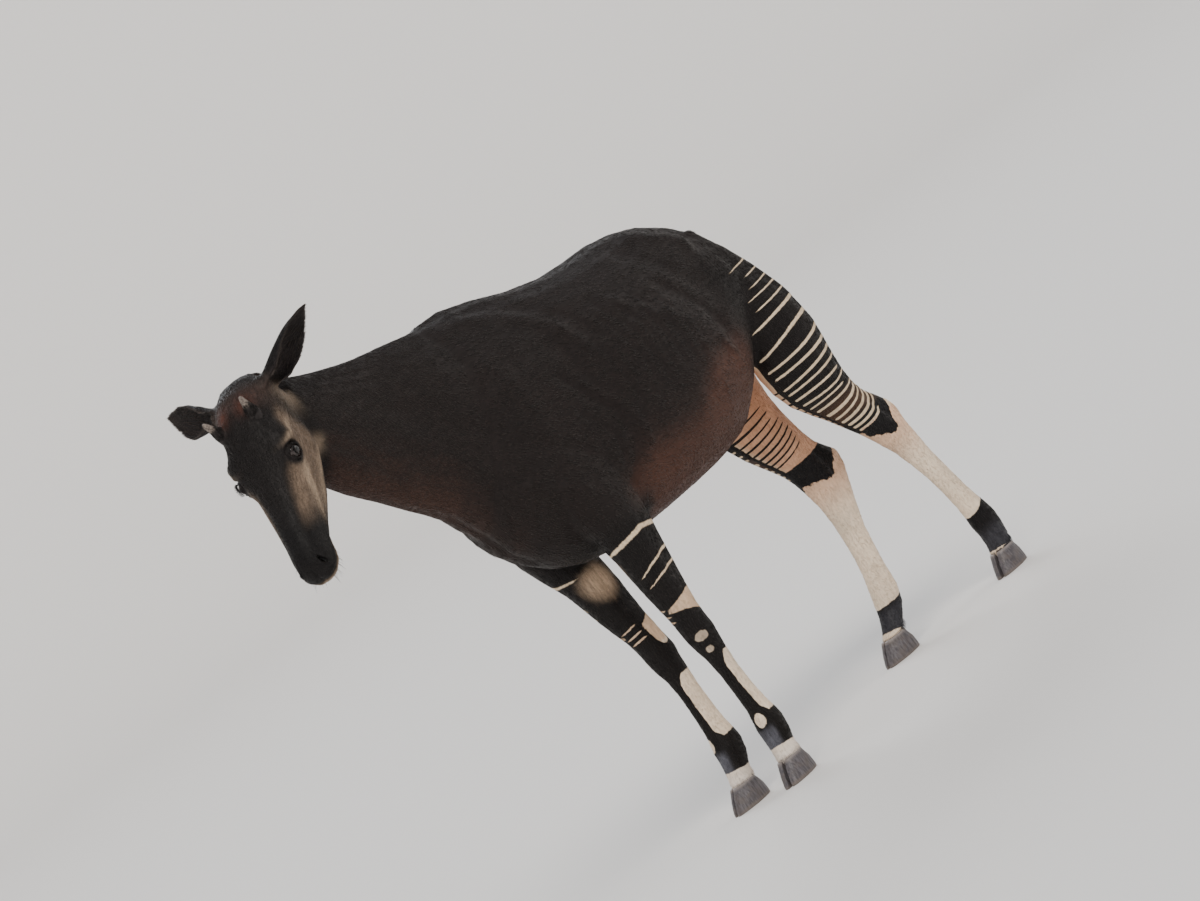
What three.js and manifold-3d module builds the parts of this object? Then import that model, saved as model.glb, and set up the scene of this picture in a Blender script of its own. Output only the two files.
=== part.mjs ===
// A life-size standing okapi: a still model parted into head, neck, torso, legs, hooves, ears and tail.
// Millimetres. The nose points to -X, the animal's left side to -Y, and Z is up.
// Stations are given in a working frame with x = 0 and y = 0 at the forefeet and z = 0 on the ground.
import * as THREE from "three";
import { mergeVertices } from "three/addons/utils/BufferGeometryUtils.js";
import Module from "manifold-3d";

const wasm = await Module();
wasm.setup();

// Driving dimensions
const SHOULDER_HEIGHT = 1500; // top of the withers, and what every other size was read against
const GAP = 0.3; // left between neighbouring nodes
const HOOF_HEIGHT = 64; // ground to coronet
const HEAD_LENGTH = 560; // back of the skull to the lips
const EYE_RADIUS = 22;
const EAR_LENGTH = 205;
const OSSICONE_HEIGHT = 62;
const TAIL_ROOT = new THREE.Vector3(936, 0, 1185);
const FORE_CUT = 800; // height where a foreleg is parted from the chest
const HIND_CUT = 902; // height where a hind leg is parted from the haunch
const KNEE_CUT = 392; // under the knee, between forearm and cannon
const HOCK_CUT = 470; // under the hock, between gaskin and cannon

const RING_TORSO = 30;
const RING_NECK = 26;
const RING_HEAD = 30;
const RING_LEG = 16;

// Small helpers
const V = (x, y, z) => new THREE.Vector3(x, y, z);
const rad = THREE.MathUtils.degToRad;
const ease = (t) => THREE.MathUtils.smoothstep(t, 0, 1);

// The head's own frame: A runs from poll to lips, N out of the forehead, L to the animal's left.
const HEAD_YAW = 26;
const HEAD_PITCH = 58;
const HEAD_ORIGIN = V(-650, -50, 1640);
const headForward = V(-Math.cos(rad(HEAD_YAW)), -Math.sin(rad(HEAD_YAW)), 0);
const UP = V(0, 0, 1);
const HEAD_A = headForward.clone().multiplyScalar(Math.cos(rad(HEAD_PITCH)))
  .addScaledVector(UP, -Math.sin(rad(HEAD_PITCH)));
const HEAD_N = headForward.clone().multiplyScalar(Math.sin(rad(HEAD_PITCH)))
  .addScaledVector(UP, Math.cos(rad(HEAD_PITCH)));
const HEAD_L = UP.clone().cross(headForward);
const headPoint = (a, n, l) => HEAD_ORIGIN.clone()
  .addScaledVector(HEAD_A, a)
  .addScaledVector(HEAD_N, n)
  .addScaledVector(HEAD_L, l);
const headDirection = (a, n, l) => headPoint(a, n, l).sub(HEAD_ORIGIN).normalize();

// A smooth curve through rows of numbers, with no overshoot. The first number of each row is the position.
function curveThrough(rows) {
  const slopes = rows.map((row, i) => row.map((value, k) => {
    if (i === 0 || i === rows.length - 1) return 0;
    const before = (value - rows[i - 1][k]) / (row[0] - rows[i - 1][0]);
    const after = (rows[i + 1][k] - value) / (rows[i + 1][0] - row[0]);
    return before * after <= 0 ? 0 : (2 * before * after) / (before + after);
  }));
  return (at) => {
    let i = rows.findIndex((row) => row[0] > at) - 1;
    if (i === -2) i = rows.length - 2;
    if (i < 0) i = 0;
    const span = rows[i + 1][0] - rows[i][0];
    const t = THREE.MathUtils.clamp((at - rows[i][0]) / span, 0, 1);
    return rows[i].map((from, k) => {
      const to = rows[i + 1][k];
      return (1 + 2 * t) * (1 - t) ** 2 * from + t * (1 - t) ** 2 * span * slopes[i][k]
        + t * t * (3 - 2 * t) * to + t * t * (t - 1) * span * slopes[i + 1][k];
    });
  };
}

// Positions of the rings: each span between two rows is divided into `each` steps.
function stepsAlong(rows, each) {
  const steps = rows.slice(1).flatMap((row, i) => Array.from(
    { length: each },
    (_, k) => rows[i][0] + ((row[0] - rows[i][0]) * k) / each,
  ));
  return [...steps, rows.at(-1)[0]];
}

// A closed geometry from triangles given as point triples.
function geometryFrom(points, faces) {
  const position = new Float32Array(points.length * 3);
  points.forEach((p, i) => position.set([p.x, p.y, p.z], i * 3));
  const geometry = new THREE.BufferGeometry();
  geometry.setAttribute("position", new THREE.BufferAttribute(position, 3));
  geometry.setIndex(faces.flat());
  return geometry;
}

function solid(geometry) {
  const bare = geometry.clone();
  bare.deleteAttribute("normal");
  bare.deleteAttribute("uv");
  const merged = mergeVertices(bare, 1e-3);
  return new wasm.Manifold(new wasm.Mesh({
    numProp: 3,
    vertProperties: merged.attributes.position.array,
    triVerts: new Uint32Array(merged.index.array),
  }));
}

// A solid from points and triangles, turned the right way out.
function facingOut(points, faces) {
  const made = solid(geometryFrom(points, faces));
  return made.volume() > 0 ? made : solid(geometryFrom(points, faces.map(([a, b, c]) => [a, c, b])));
}

function geometryOf(manifold) {
  const mesh = manifold.getMesh();
  const geometry = new THREE.BufferGeometry();
  geometry.setAttribute("position", new THREE.BufferAttribute(new Float32Array(mesh.vertProperties), 3));
  geometry.setIndex(new THREE.BufferAttribute(new Uint32Array(mesh.triVerts), 1));
  return geometry;
}

const joined = (...parts) => parts.flat().reduce((whole, next) => whole.add(next));

function largest(manifold) {
  return manifold.decompose().reduce((best, next) => (next.volume() > best.volume() ? next : best));
}

// Skins a row of rings of equal count into one closed solid.
function skinned(rings) {
  const count = rings[0].length;
  const points = rings.flat();
  const faces = [];
  for (let r = 0; r < rings.length - 1; r += 1) {
    for (let k = 0; k < count; k += 1) {
      const a = r * count + k;
      const b = r * count + ((k + 1) % count);
      faces.push([a, b, a + count], [b, b + count, a + count]);
    }
  }
  [0, rings.length - 1].forEach((r) => {
    const centre = rings[r].reduce((sum, p) => sum.add(p), V(0, 0, 0)).multiplyScalar(1 / count);
    const hub = points.push(centre) - 1;
    for (let k = 0; k < count; k += 1) {
      const a = r * count + k;
      const b = r * count + ((k + 1) % count);
      faces.push(r === 0 ? [hub, b, a] : [hub, a, b]);
    }
  });
  return facingOut(points, faces);
}

// One ring round a centre. above and below are the half heights, and a power over 1 pinches that half.
function ring({ centre, up, side, above, below, width, topPower = 1, bottomPower = 1 }, count, bulges = []) {
  return Array.from({ length: count }, (_, k) => {
    const angle = (2 * Math.PI * k) / count;
    const c = Math.cos(angle);
    const s = Math.sin(angle);
    const across = Math.sign(c) * Math.abs(c) ** (s >= 0 ? topPower : bottomPower) * width;
    const high = s * (s >= 0 ? above : below);
    const point = centre.clone().addScaledVector(side, across).addScaledVector(up, high);
    const outward = point.clone().sub(centre).normalize();
    const pushed = point.clone();
    bulges.forEach(({ at, size, height }) => {
      const d = point.clone().sub(at).divide(size).length();
      if (d < 1) pushed.addScaledVector(outward, height * (1 - d * d) ** 2);
    });
    return pushed;
  });
}

// An oriented box, used only to part the body.
function block(centre, xDir, yDir, zDir, size) {
  const geometry = new THREE.BoxGeometry(...size);
  const matrix = new THREE.Matrix4().makeBasis(xDir, yDir, zDir).setPosition(centre);
  return solid(geometry.applyMatrix4(matrix));
}

// Torso, by stations along the back
// x, back line, belly line, height of the widest point, half width, pinch of the upper half, pinch of the lower half
const TORSO = [
  [-268, 1120, 965, 1050, 56, 1, 1],
  [-243, 1240, 902, 1060, 98, 1, 1],
  [-196, 1390, 846, 1065, 132, 1.05, 1.05],
  [-130, 1480, 795, 1062, 158, 1.15, 1.1],
  [-45, 1502, 760, 1060, 178, 1.3, 1.1],
  [50, SHOULDER_HEIGHT, 742, 1050, 196, 1.3, 1],
  [150, 1475, 736, 1030, 218, 1.2, 0.95],
  [260, 1438, 734, 1005, 245, 1.1, 0.9],
  [380, 1411, 735, 985, 262, 1, 0.88],
  [480, 1404, 738, 985, 264, 0.98, 0.88],
  [580, 1402, 752, 1000, 252, 0.98, 0.92],
  [670, 1389, 796, 1040, 232, 0.98, 1],
  [730, 1372, 850, 1070, 218, 0.98, 1.05],
  [788, 1340, 905, 1090, 205, 0.98, 1.05],
  [838, 1300, 925, 1090, 186, 0.98, 1.05],
  [878, 1246, 935, 1080, 160, 1, 1],
  [918, 1176, 945, 1055, 122, 1, 1],
  [948, 1116, 965, 1035, 82, 1, 1],
  [964, 1070, 990, 1030, 44, 1, 1],
];
const muscle = (x, y, z, sx, sy, sz, height) => [-1, 1].map((flank) => ({
  at: V(x, flank * y, z),
  size: V(sx, sy, sz),
  height,
}));
const TORSO_BULGES = [
  ...muscle(-10, 160, 1190, 150, 110, 260, 12), // shoulder blade
  ...muscle(-110, 130, 990, 130, 110, 150, 14), // point of the shoulder
  ...muscle(150, 205, 1180, 70, 110, 230, -9), // hollow behind the shoulder
  ...muscle(700, 190, 1270, 70, 90, 70, 12), // hip bone
  ...muscle(640, 225, 1150, 80, 110, 130, -12), // hollow of the flank
];
function makeTorso() {
  const at = curveThrough(TORSO);
  return skinned(stepsAlong(TORSO, 1).map((x) => {
    const [, back, belly, middle, width, topPower, bottomPower] = at(x);
    return ring({
      centre: V(x, 0, middle),
      up: UP,
      side: V(0, 1, 0),
      above: back - middle,
      below: middle - belly,
      width,
      topPower,
      bottomPower,
    }, RING_TORSO, TORSO_BULGES);
  }));
}

// Neck, by its crest and throat points from the chest up to the skull
// position, crest x, crest z, throat x, throat z, sideways, half width, pinch of the crest, pinch of the throat
const NECK = [
  [0, 60, 1455, -150, 890, 0, 148, 1.3, 1],
  [1, -70, 1498, -268, 968, 0, 138, 1.3, 1],
  [2, -175, 1518, -322, 1062, -2, 124, 1.25, 1],
  [3, -285, 1536, -396, 1134, -8, 108, 1.2, 1],
  [4, -390, 1562, -470, 1205, -18, 96, 1.15, 1],
  [5, -480, 1588, -535, 1262, -30, 89, 1.1, 1],
  [6, -555, 1618, -580, 1318, -40, 84, 1.1, 1],
  [7, -612, 1640, -612, 1372, -48, 76, 1, 1],
  [8, -655, 1620, -640, 1440, -54, 52, 1, 1],
];
function makeNeck() {
  const at = curveThrough(NECK);
  return skinned(stepsAlong(NECK, 2).map((step) => {
    const [, crestX, crestZ, throatX, throatZ, y, width, topPower, bottomPower] = at(step);
    const crest = V(crestX, y, crestZ);
    const throat = V(throatX, y, throatZ);
    const turn = rad(HEAD_YAW) * ease((step - 2) / 6);
    const half = crest.distanceTo(throat) / 2;
    return ring({
      centre: crest.clone().lerp(throat, 0.5),
      up: crest.clone().sub(throat).normalize(),
      side: V(-Math.sin(turn), Math.cos(turn), 0),
      above: half,
      below: half,
      width,
      topPower,
      bottomPower,
    }, RING_NECK);
  }));
}

// Head, by stations from the back of the skull to the lips
// A, forehead line, jaw line, level of the widest point, half width, pinch above, pinch below
const HEAD = [
  [-42, -38, -92, -64, 34, 1, 1],
  [-28, 0, -118, -55, 58, 1, 1],
  [0, 40, -140, -42, 78, 1, 1],
  [40, 64, -154, -30, 89, 0.95, 1.05],
  [90, 77, -165, -20, 92, 0.9, 1],
  [140, 76, -177, -14, 90, 0.9, 1],
  [190, 66, -185, -12, 88, 0.9, 1],
  [240, 53, -185, -18, 84, 0.9, 1],
  [290, 43, -172, -26, 75, 0.9, 1],
  [340, 36, -148, -30, 65, 0.9, 1],
  [390, 31, -122, -32, 57, 0.88, 1],
  [440, 27, -102, -32, 51, 0.85, 1],
  [480, 21, -94, -34, 51, 0.82, 0.95],
  [512, 11, -86, -38, 48, 0.8, 0.9],
  [532, -4, -76, -40, 39, 0.85, 0.9],
  [HEAD_LENGTH - 15, -22, -62, -42, 20, 1, 1],
];
const EYE_AT = { a: 236, n: 4, l: 73 };
const headMuscle = (a, n, l, size, height) => [-1, 1].map((cheek) => ({
  at: headPoint(a, n, cheek * l),
  size: V(size, size, size),
  height,
}));
const HEAD_BULGES = [
  ...headMuscle(206, 26, 84, 64, 23), // orbit
  ...headMuscle(180, -95, 66, 75, 9), // jaw muscle
  ...headMuscle(300, -30, 62, 55, -5), // hollow before the cheek
  ...headMuscle(120, 60, 46, 45, 8), // foot of the ossicone
];
function headRings(shrink) {
  const at = curveThrough(HEAD);
  return stepsAlong(HEAD, 1).map((a) => {
    const [, forehead, jaw, level, width, topPower, bottomPower] = at(a);
    return ring({
      centre: headPoint(a, level, 0),
      up: HEAD_N,
      side: HEAD_L,
      above: Math.max(forehead - level - shrink, 2),
      below: Math.max(level - jaw - shrink, 2),
      width: Math.max(width - shrink, 2),
      topPower,
      bottomPower,
    }, RING_HEAD, HEAD_BULGES);
  });
}

// The line of the mouth is a groove 6 mm deep, from the lips back to the corner.
const MOUTH = { corner: 432, level: -62, slope: 0.16, width: 3, depth: 6 };
function mouthGroove() {
  const length = 180;
  const along = headDirection(1, MOUTH.slope, 0);
  const across = HEAD_L.clone();
  const normal = along.clone().cross(across).normalize();
  const middle = headPoint(MOUTH.corner, MOUTH.level, 0).addScaledVector(along, length / 2);
  const slab = block(middle, along, across, normal, [length, 160, MOUTH.width]);
  return slab.subtract(skinned(headRings(MOUTH.depth)));
}

function ellipsoid(centre, xDir, yDir, zDir, sizes) {
  const geometry = new THREE.SphereGeometry(1, 16, 10);
  const matrix = new THREE.Matrix4().makeBasis(xDir, yDir, zDir).setPosition(centre);
  return solid(geometry.scale(...sizes).applyMatrix4(matrix));
}

// Each nostril is a slanting comma let into the end of the muzzle.
function nostril(cheek) {
  const along = headDirection(0.75, -0.35, cheek * 0.55);
  const across = HEAD_N.clone().cross(along).normalize();
  const normal = along.clone().cross(across).normalize();
  return ellipsoid(headPoint(514, -8, cheek * 34), along, across, normal, [19, 9, 6.5]);
}

// An eye faces outwards and a little forwards.
const eyeFacing = (cheek) => headDirection(0.1, 0.22, cheek * 0.95);
const eyeCentre = (cheek) => headPoint(EYE_AT.a, EYE_AT.n, cheek * EYE_AT.l);
function eyelids(cheek) {
  const out = eyeFacing(cheek);
  const along = headDirection(1, -0.25, 0);
  const across = out.clone().cross(along).normalize();
  const lengthwise = across.clone().cross(out).normalize();
  const lid = new THREE.TorusGeometry(EYE_RADIUS * 0.86, 5.5, 6, 18).scale(1.22, 0.82, 1);
  const place = new THREE.Matrix4().makeBasis(lengthwise, across, out)
    .setPosition(eyeCentre(cheek).addScaledVector(out, EYE_RADIUS * 0.62));
  return solid(lid.applyMatrix4(place));
}

// A horn core under skin: a short cone with a round, bare tip.
const OSSICONE_AT = { a: 120, n: 62, l: 50 };
const ossiconeBase = (cheek) => headPoint(OSSICONE_AT.a, OSSICONE_AT.n, cheek * OSSICONE_AT.l);
const ossiconeAxis = (cheek) => headDirection(-0.5, 0.95, cheek * 0.2);
function ossicone(cheek) {
  const profile = [
    [0, -30], [20, -30], [19, 4], [15.5, 18], [12.5, 32], [10.5, 46], [9, 55], [6, 60.5], [0, OSSICONE_HEIGHT],
  ].map(([r, h]) => new THREE.Vector2(r, h));
  const lathe = new THREE.LatheGeometry(profile, 14);
  const turn = new THREE.Quaternion().setFromUnitVectors(V(0, 1, 0), ossiconeAxis(cheek));
  return solid(lathe.applyQuaternion(turn).translate(...ossiconeBase(cheek).toArray()));
}

// An ear is a leaf rolled into a cup: nearly a tube at its root, open and flat towards the tip.
// Its middle line bows downwards a little.
// along the ear, half width, roll of the edge in degrees, bend backwards
const EAR = [
  [0, 26, 128, 0],
  [0.12, 31, 118, 0],
  [0.3, 40, 96, 1],
  [0.5, 44, 80, 3],
  [0.68, 37, 70, 6],
  [0.82, 24, 62, 9],
  [0.92, 13, 54, 12],
  [1, 5, 44, 15],
];
const EAR_WALL = 5;
const EARS = {
  left: { cheek: 1, along: V(0.82, -0.43, 0.38), open: V(-0.1, -0.75, -0.6), bow: 4 },
  right: { cheek: -1, along: V(0.08, 0.93, 0.35), open: V(-0.7, -0.7, -0.1), bow: 9 },
};
const earRoot = (cheek) => headPoint(34, 4, cheek * 74);
function earFrame({ along, open }) {
  const length = along.clone().normalize();
  const across = length.clone().cross(open).normalize();
  return { length, across, mouth: across.clone().cross(length).normalize() };
}
function ear(which) {
  const { length, across, mouth } = earFrame(which);
  const root = earRoot(which.cheek);
  const at = curveThrough(EAR);
  const steps = 10;
  const columns = 10;
  const points = [];
  for (let i = 0; i <= steps; i += 1) {
    const u = i / steps;
    const [, width, rollDegrees, bend] = at(u);
    const roll = rad(rollDegrees);
    const radius = roll < Math.PI / 2 ? width / Math.sin(roll) : width;
    const wall = THREE.MathUtils.lerp(EAR_WALL, 2.6, u);
    const centre = root.clone().addScaledVector(length, 14 + u * EAR_LENGTH).addScaledVector(mouth, -bend)
      .addScaledVector(UP, -which.bow * Math.sin(Math.PI * u));
    [radius, radius - wall].forEach((r) => {
      for (let k = 0; k <= columns; k += 1) {
        const v = -1 + (2 * k) / columns;
        points.push(centre.clone()
          .addScaledVector(across, r * Math.sin(v * roll))
          .addScaledVector(mouth, radius * 0.45 - r * Math.cos(v * roll)));
      }
    });
  }
  const row = columns + 1;
  const outer = (i, k) => i * 2 * row + k;
  const inner = (i, k) => outer(i, k) + row;
  const faces = [];
  const quad = (a, b, c, d) => faces.push([a, b, c], [a, c, d]);
  for (let i = 0; i < steps; i += 1) {
    for (let k = 0; k < columns; k += 1) {
      quad(outer(i, k), outer(i, k + 1), outer(i + 1, k + 1), outer(i + 1, k));
      quad(inner(i, k), inner(i + 1, k), inner(i + 1, k + 1), inner(i, k + 1));
    }
    quad(outer(i, 0), outer(i + 1, 0), inner(i + 1, 0), inner(i, 0));
    quad(outer(i, columns), inner(i, columns), inner(i + 1, columns), outer(i + 1, columns));
  }
  for (let k = 0; k < columns; k += 1) {
    quad(outer(0, k), inner(0, k), inner(0, k + 1), outer(0, k + 1));
    quad(outer(steps, k), outer(steps, k + 1), inner(steps, k + 1), inner(steps, k));
  }
  const cup = facingOut(points, faces);
  const stalk = (t, r) => ring({
    centre: root.clone().addScaledVector(length, t),
    up: mouth,
    side: across,
    above: r,
    below: r,
    width: r * 1.05,
  }, 18);
  return joined(skinned([stalk(-34, 20), stalk(-4, 25), stalk(10, 25), stalk(19, 20), stalk(24, 10)]), cup);
}

// Legs, by stations from the coronet up into the body: height, half depth before and behind, half width
const FORE_SHAPE = [
  [HOOF_HEIGHT, 34, 36, 36],
  [96, 36, 38, 35],
  [128, 40, 44, 37],
  [158, 42, 48, 38],
  [185, 38, 44, 34],
  [215, 33, 38, 29],
  [265, 31, 34, 26],
  [330, 30, 33, 26],
  [380, 34, 37, 30],
  [415, 41, 39, 36],
  [445, 45, 42, 40],
  [478, 44, 44, 40],
  [520, 45, 51, 40],
  [567, 50, 58, 44],
  [617, 57, 66, 48],
  [668, 64, 74, 53],
  [719, 71, 81, 58],
  [780, 84, 94, 62],
  [850, 104, 110, 66],
  [950, 122, 118, 64],
  [1060, 120, 108, 56],
  [1170, 96, 86, 46],
  [1270, 56, 52, 30],
];
const HIND_SHAPE = [
  [HOOF_HEIGHT, 34, 36, 36],
  [90, 37, 39, 35],
  [122, 41, 43, 35],
  [158, 43, 48, 36],
  [186, 40, 46, 33],
  [229, 37, 41, 28],
  [284, 35, 38, 27],
  [339, 36, 39, 27],
  [394, 40, 43, 29],
  [449, 47, 54, 33],
  [505, 57, 70, 38],
  [545, 66, 88, 41],
  [575, 72, 99, 43],
  [605, 75, 94, 46],
  [640, 78, 84, 52],
  [675, 87, 88, 60],
  [726, 102, 101, 73],
  [780, 112, 111, 84],
  [833, 117, 118, 92],
  [886, 121, 123, 96],
  [940, 126, 124, 96],
  [1000, 146, 125, 90],
  [1090, 152, 106, 82],
  [1180, 132, 82, 68],
  [1270, 84, 46, 44],
];
// Height, then where the middle of the leg stands at that height, as the pose in the photo has it
const LEGS = {
  fore_left: {
    shape: FORE_SHAPE, turn: 9, drop: 0,
    spine: [
      [HOOF_HEIGHT, 28, -85], [100, 34, -85], [158, 42, -85], [209, 43, -85], [261, 40, -86], [363, 37, -88],
      [440, 35, -90], [516, 28, -92], [617, 22, -98], [719, 16, -110], [780, 10, -118], [850, 0, -124],
      [950, -12, -128], [1060, -10, -130], [1270, 20, -112],
    ],
  },
  fore_right: {
    shape: FORE_SHAPE, turn: -18, drop: 0,
    spine: [
      [HOOF_HEIGHT, 10, 100], [102, 26, 100], [139, 39, 100], [191, 45, 100], [242, 47, 100], [345, 51, 100],
      [448, 52, 100], [501, 43, 101], [553, 30, 103], [605, 20, 105], [657, 16, 110], [719, 8, 117],
      [780, -8, 122], [850, -20, 125], [950, -28, 128], [1060, -20, 130], [1270, 20, 112],
    ],
  },
  hind_left: {
    shape: HIND_SHAPE, turn: 6, drop: 0,
    spine: [
      [HOOF_HEIGHT, 1103, -72], [90, 1113, -72], [119, 1116, -72], [174, 1111, -73], [229, 1099, -75],
      [284, 1086, -77], [339, 1072, -79], [394, 1055, -81], [449, 1037, -84], [505, 1014, -86], [560, 984, -88],
      [616, 943, -94], [671, 902, -102], [726, 868, -112], [780, 850, -121], [833, 843, -128], [886, 841, -131],
      [940, 832, -132], [1000, 822, -128], [1090, 812, -118], [1180, 800, -110], [1270, 785, -104],
    ],
  },
  hind_right: {
    shape: HIND_SHAPE, turn: -15, drop: 42,
    spine: [
      [HOOF_HEIGHT, 753, 105], [84, 774, 105], [102, 790, 105], [140, 814, 105], [180, 826, 105], [233, 840, 104],
      [286, 852, 103], [339, 861, 102], [392, 872, 100], [446, 880, 98], [500, 883, 97], [554, 871, 96],
      [610, 843, 98], [666, 820, 104], [721, 803, 111], [780, 797, 120], [833, 801, 127], [886, 810, 130],
      [940, 815, 132], [1000, 812, 128], [1090, 806, 118], [1180, 798, 110], [1270, 785, 104],
    ],
  },
};
function makeLeg({ shape, spine, turn, drop }) {
  const sizeAt = curveThrough(shape);
  const placeAt = curveThrough(spine);
  return skinned(stepsAlong(shape, 1).map((z) => {
    // A leg set forwards has its joints lower, by up to `drop`.
    const joint = z + drop * ease((z - 160) / 300) * (1 - ease((z - 600) / 250));
    const [, before, behind, width] = sizeAt(joint);
    const [, x, y] = placeAt(z);
    const yaw = rad(turn) * (1 - ease((z - 350) / 400));
    return ring({
      centre: V(x, y, z),
      up: V(-Math.cos(yaw), -Math.sin(yaw), 0),
      side: V(Math.sin(yaw), -Math.cos(yaw), 0),
      above: before,
      below: behind,
      width,
    }, RING_LEG);
  }));
}

// One of the two claws of a cloven hoof. Heights, toe, heel and width are measured from the foot's middle.
const CLAW = [
  [0, 66, -46, 43],
  [10, 64, -47, 43],
  [34, 52, -46, 41],
  [HOOF_HEIGHT - GAP, 33, -36, 36],
];
const CLAW_OFFSET = 4;
function claw(name, outward) {
  const { spine, turn } = LEGS[name];
  const [, x, y] = spine[0];
  const yaw = rad(turn);
  const forward = V(-Math.cos(yaw), -Math.sin(yaw), 0);
  const left = V(Math.sin(yaw), -Math.cos(yaw), 0);
  const foot = V(x, y, 0).addScaledVector(forward, CLAW_OFFSET);
  const arc = 14;
  return skinned(CLAW.map(([height, toe, heel, width]) => {
    const cleft = 2.2;
    return Array.from({ length: arc + 1 }, (_, k) => {
      const t = (Math.PI * k) / arc;
      const f = (toe + heel) / 2 + ((toe - heel) / 2) * Math.cos(t);
      const tipward = Math.max(Math.cos(t), 0);
      const side = cleft + tipward ** 3 * 3.5 + (width - cleft) * Math.sin(t) ** 0.75 * (1 - 0.2 * tipward);
      return foot.clone().addScaledVector(forward, f)
        .addScaledVector(left, outward * side).setZ(height);
    });
  }));
}

// Tail: a tapering dock, and a tuft of flat locks that overlap and hang to its tip
// position, x, z, radius
const TAIL = [
  [0, TAIL_ROOT.x - 36, TAIL_ROOT.z - 22, 20],
  [1, TAIL_ROOT.x + 22, TAIL_ROOT.z - 44, 25],
  [2, TAIL_ROOT.x + 62, TAIL_ROOT.z - 95, 21],
  [3, TAIL_ROOT.x + 78, TAIL_ROOT.z - 175, 17],
  [4, TAIL_ROOT.x + 82, TAIL_ROOT.z - 260, 15],
  [5, TAIL_ROOT.x + 80, TAIL_ROOT.z - 345, 11],
  [6, TAIL_ROOT.x + 79, TAIL_ROOT.z - 385, 5],
];
const LOCKS = { count: 9, length: 135, width: 10, thickness: 4.5 };
function makeTail() {
  const at = curveThrough(TAIL);
  const dock = skinned(stepsAlong(TAIL, 2).map((step) => {
    const [, x, z, radius] = at(step);
    const [, aheadX, aheadZ] = at(Math.min(step + 0.05, TAIL.length - 1));
    const [, behindX, behindZ] = at(Math.max(step - 0.05, 0));
    const along = V(aheadX - behindX, 0, aheadZ - behindZ).normalize();
    const up = along.clone().cross(V(0, 1, 0)).normalize();
    return ring({ centre: V(x, 0, z), up, side: V(0, 1, 0), above: radius, below: radius, width: radius }, 12);
  }));
  const locks = Array.from({ length: LOCKS.count }, (_, i) => {
    const round = (i * 2 * Math.PI * 0.382) % (2 * Math.PI);
    const step = 4.1 + (i / LOCKS.count) * 1.4;
    const [, x, z, radius] = at(step);
    const out = V(Math.cos(round), Math.sin(round), 0);
    const across = V(-Math.sin(round), Math.cos(round), 0);
    const length = LOCKS.length * (1 + 0.18 * Math.sin(i * 2.4));
    return skinned([0, 0.3, 0.65, 0.88, 1].map((t) => {
      const away = radius * 0.45 + 13 * Math.sin(t * 2.2) - 4 * t;
      const sway = 6 * t * Math.sin(i * 1.7);
      const taper = 1 - t ** 2.2 * 0.88;
      return ring({
        centre: V(x, 0, z - length * t).addScaledVector(out, away).addScaledVector(across, sway),
        up: out,
        side: across,
        above: LOCKS.thickness * taper,
        below: LOCKS.thickness * taper,
        width: LOCKS.width * taper,
      }, 6);
    }));
  });
  return joined(dock, locks);
}

// The whole body is joined first and then parted with thin cuts.
const eyes = [1, -1].map((cheek) => {
  const ball = new THREE.IcosahedronGeometry(EYE_RADIUS, 3);
  return solid(ball.translate(...eyeCentre(cheek).toArray()));
});
const sockets = [1, -1].map((cheek) => {
  const ball = new THREE.IcosahedronGeometry(EYE_RADIUS + GAP, 3);
  return solid(ball.translate(...eyeCentre(cheek).toArray()));
});
const head = joined(skinned(headRings(0)), eyelids(1), eyelids(-1))
  .subtract(joined(sockets))
  .subtract(joined(nostril(1), nostril(-1)))
  .subtract(mouthGroove());
let body = joined(
  makeTorso(),
  makeNeck(),
  head,
  Object.values(EARS).map(ear),
  ossicone(1),
  ossicone(-1),
  Object.values(LEGS).map(makeLeg),
  makeTail(),
).subtract(joined(sockets));

const model = new THREE.Group();
const DARK = 0x1d1614;
const BROWN = 0x35211b;
const CREAM = 0xd8b795;
const GREY = 0x77706c;
function addNode(name, manifold, color, roughness = 0.75) {
  const material = new THREE.MeshStandardMaterial({ color, roughness, metalness: 0 });
  const mesh = new THREE.Mesh(geometryOf(largest(manifold)), material);
  mesh.name = name;
  model.add(mesh);
}

// Takes what lies in a box out of the body as its own node, with the gap left all round.
function partOff(name, color, [centre, xDir, yDir, zDir, size]) {
  addNode(name, body.intersect(block(centre, xDir, yDir, zDir, size)), color);
  body = body.subtract(block(centre, xDir, yDir, zDir, size.map((s) => s + 2 * GAP)));
}
function boxBeyond(plane, normal, side, size) {
  const third = normal.clone().cross(side).normalize();
  const second = third.clone().cross(normal).normalize();
  return [plane.clone().addScaledVector(normal, size[0] / 2), normal, second, third, size];
}

// Eyes, ears and ossicones
["left", "right"].forEach((side, i) => {
  const cheek = i === 0 ? 1 : -1;
  addNode(`eye_${side}`, eyes[i], 0x0c0a0a, 0.15);
  const { length, across } = earFrame(EARS[side]);
  const stub = earRoot(cheek).addScaledVector(length, 16);
  partOff(`ear_${side}`, DARK, boxBeyond(stub, length, across, [300, 150, 150]));
  const axis = ossiconeAxis(cheek);
  const foot = ossiconeBase(cheek).addScaledVector(axis, 17);
  partOff(`ossicone_${side}`, BROWN, boxBeyond(foot, axis, HEAD_A, [70, 60, 60]));
});

// Head and neck
const nape = V(-598, -45, 1440);
partOff("head", BROWN, boxBeyond(nape, headForward, HEAD_L, [700, 500, 800]));
const neckFoot = V(-205, 0, 1270);
const neckward = V(-0.9, 0, 0.436).normalize();
partOff("neck", DARK, boxBeyond(neckFoot, neckward, V(0, 1, 0), [700, 500, 760]));

// Tail
partOff("tail", DARK, [V(1112, 0, 1000), V(1, 0, 0), V(0, 1, 0), UP, [200, 140, 600]]);

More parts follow.
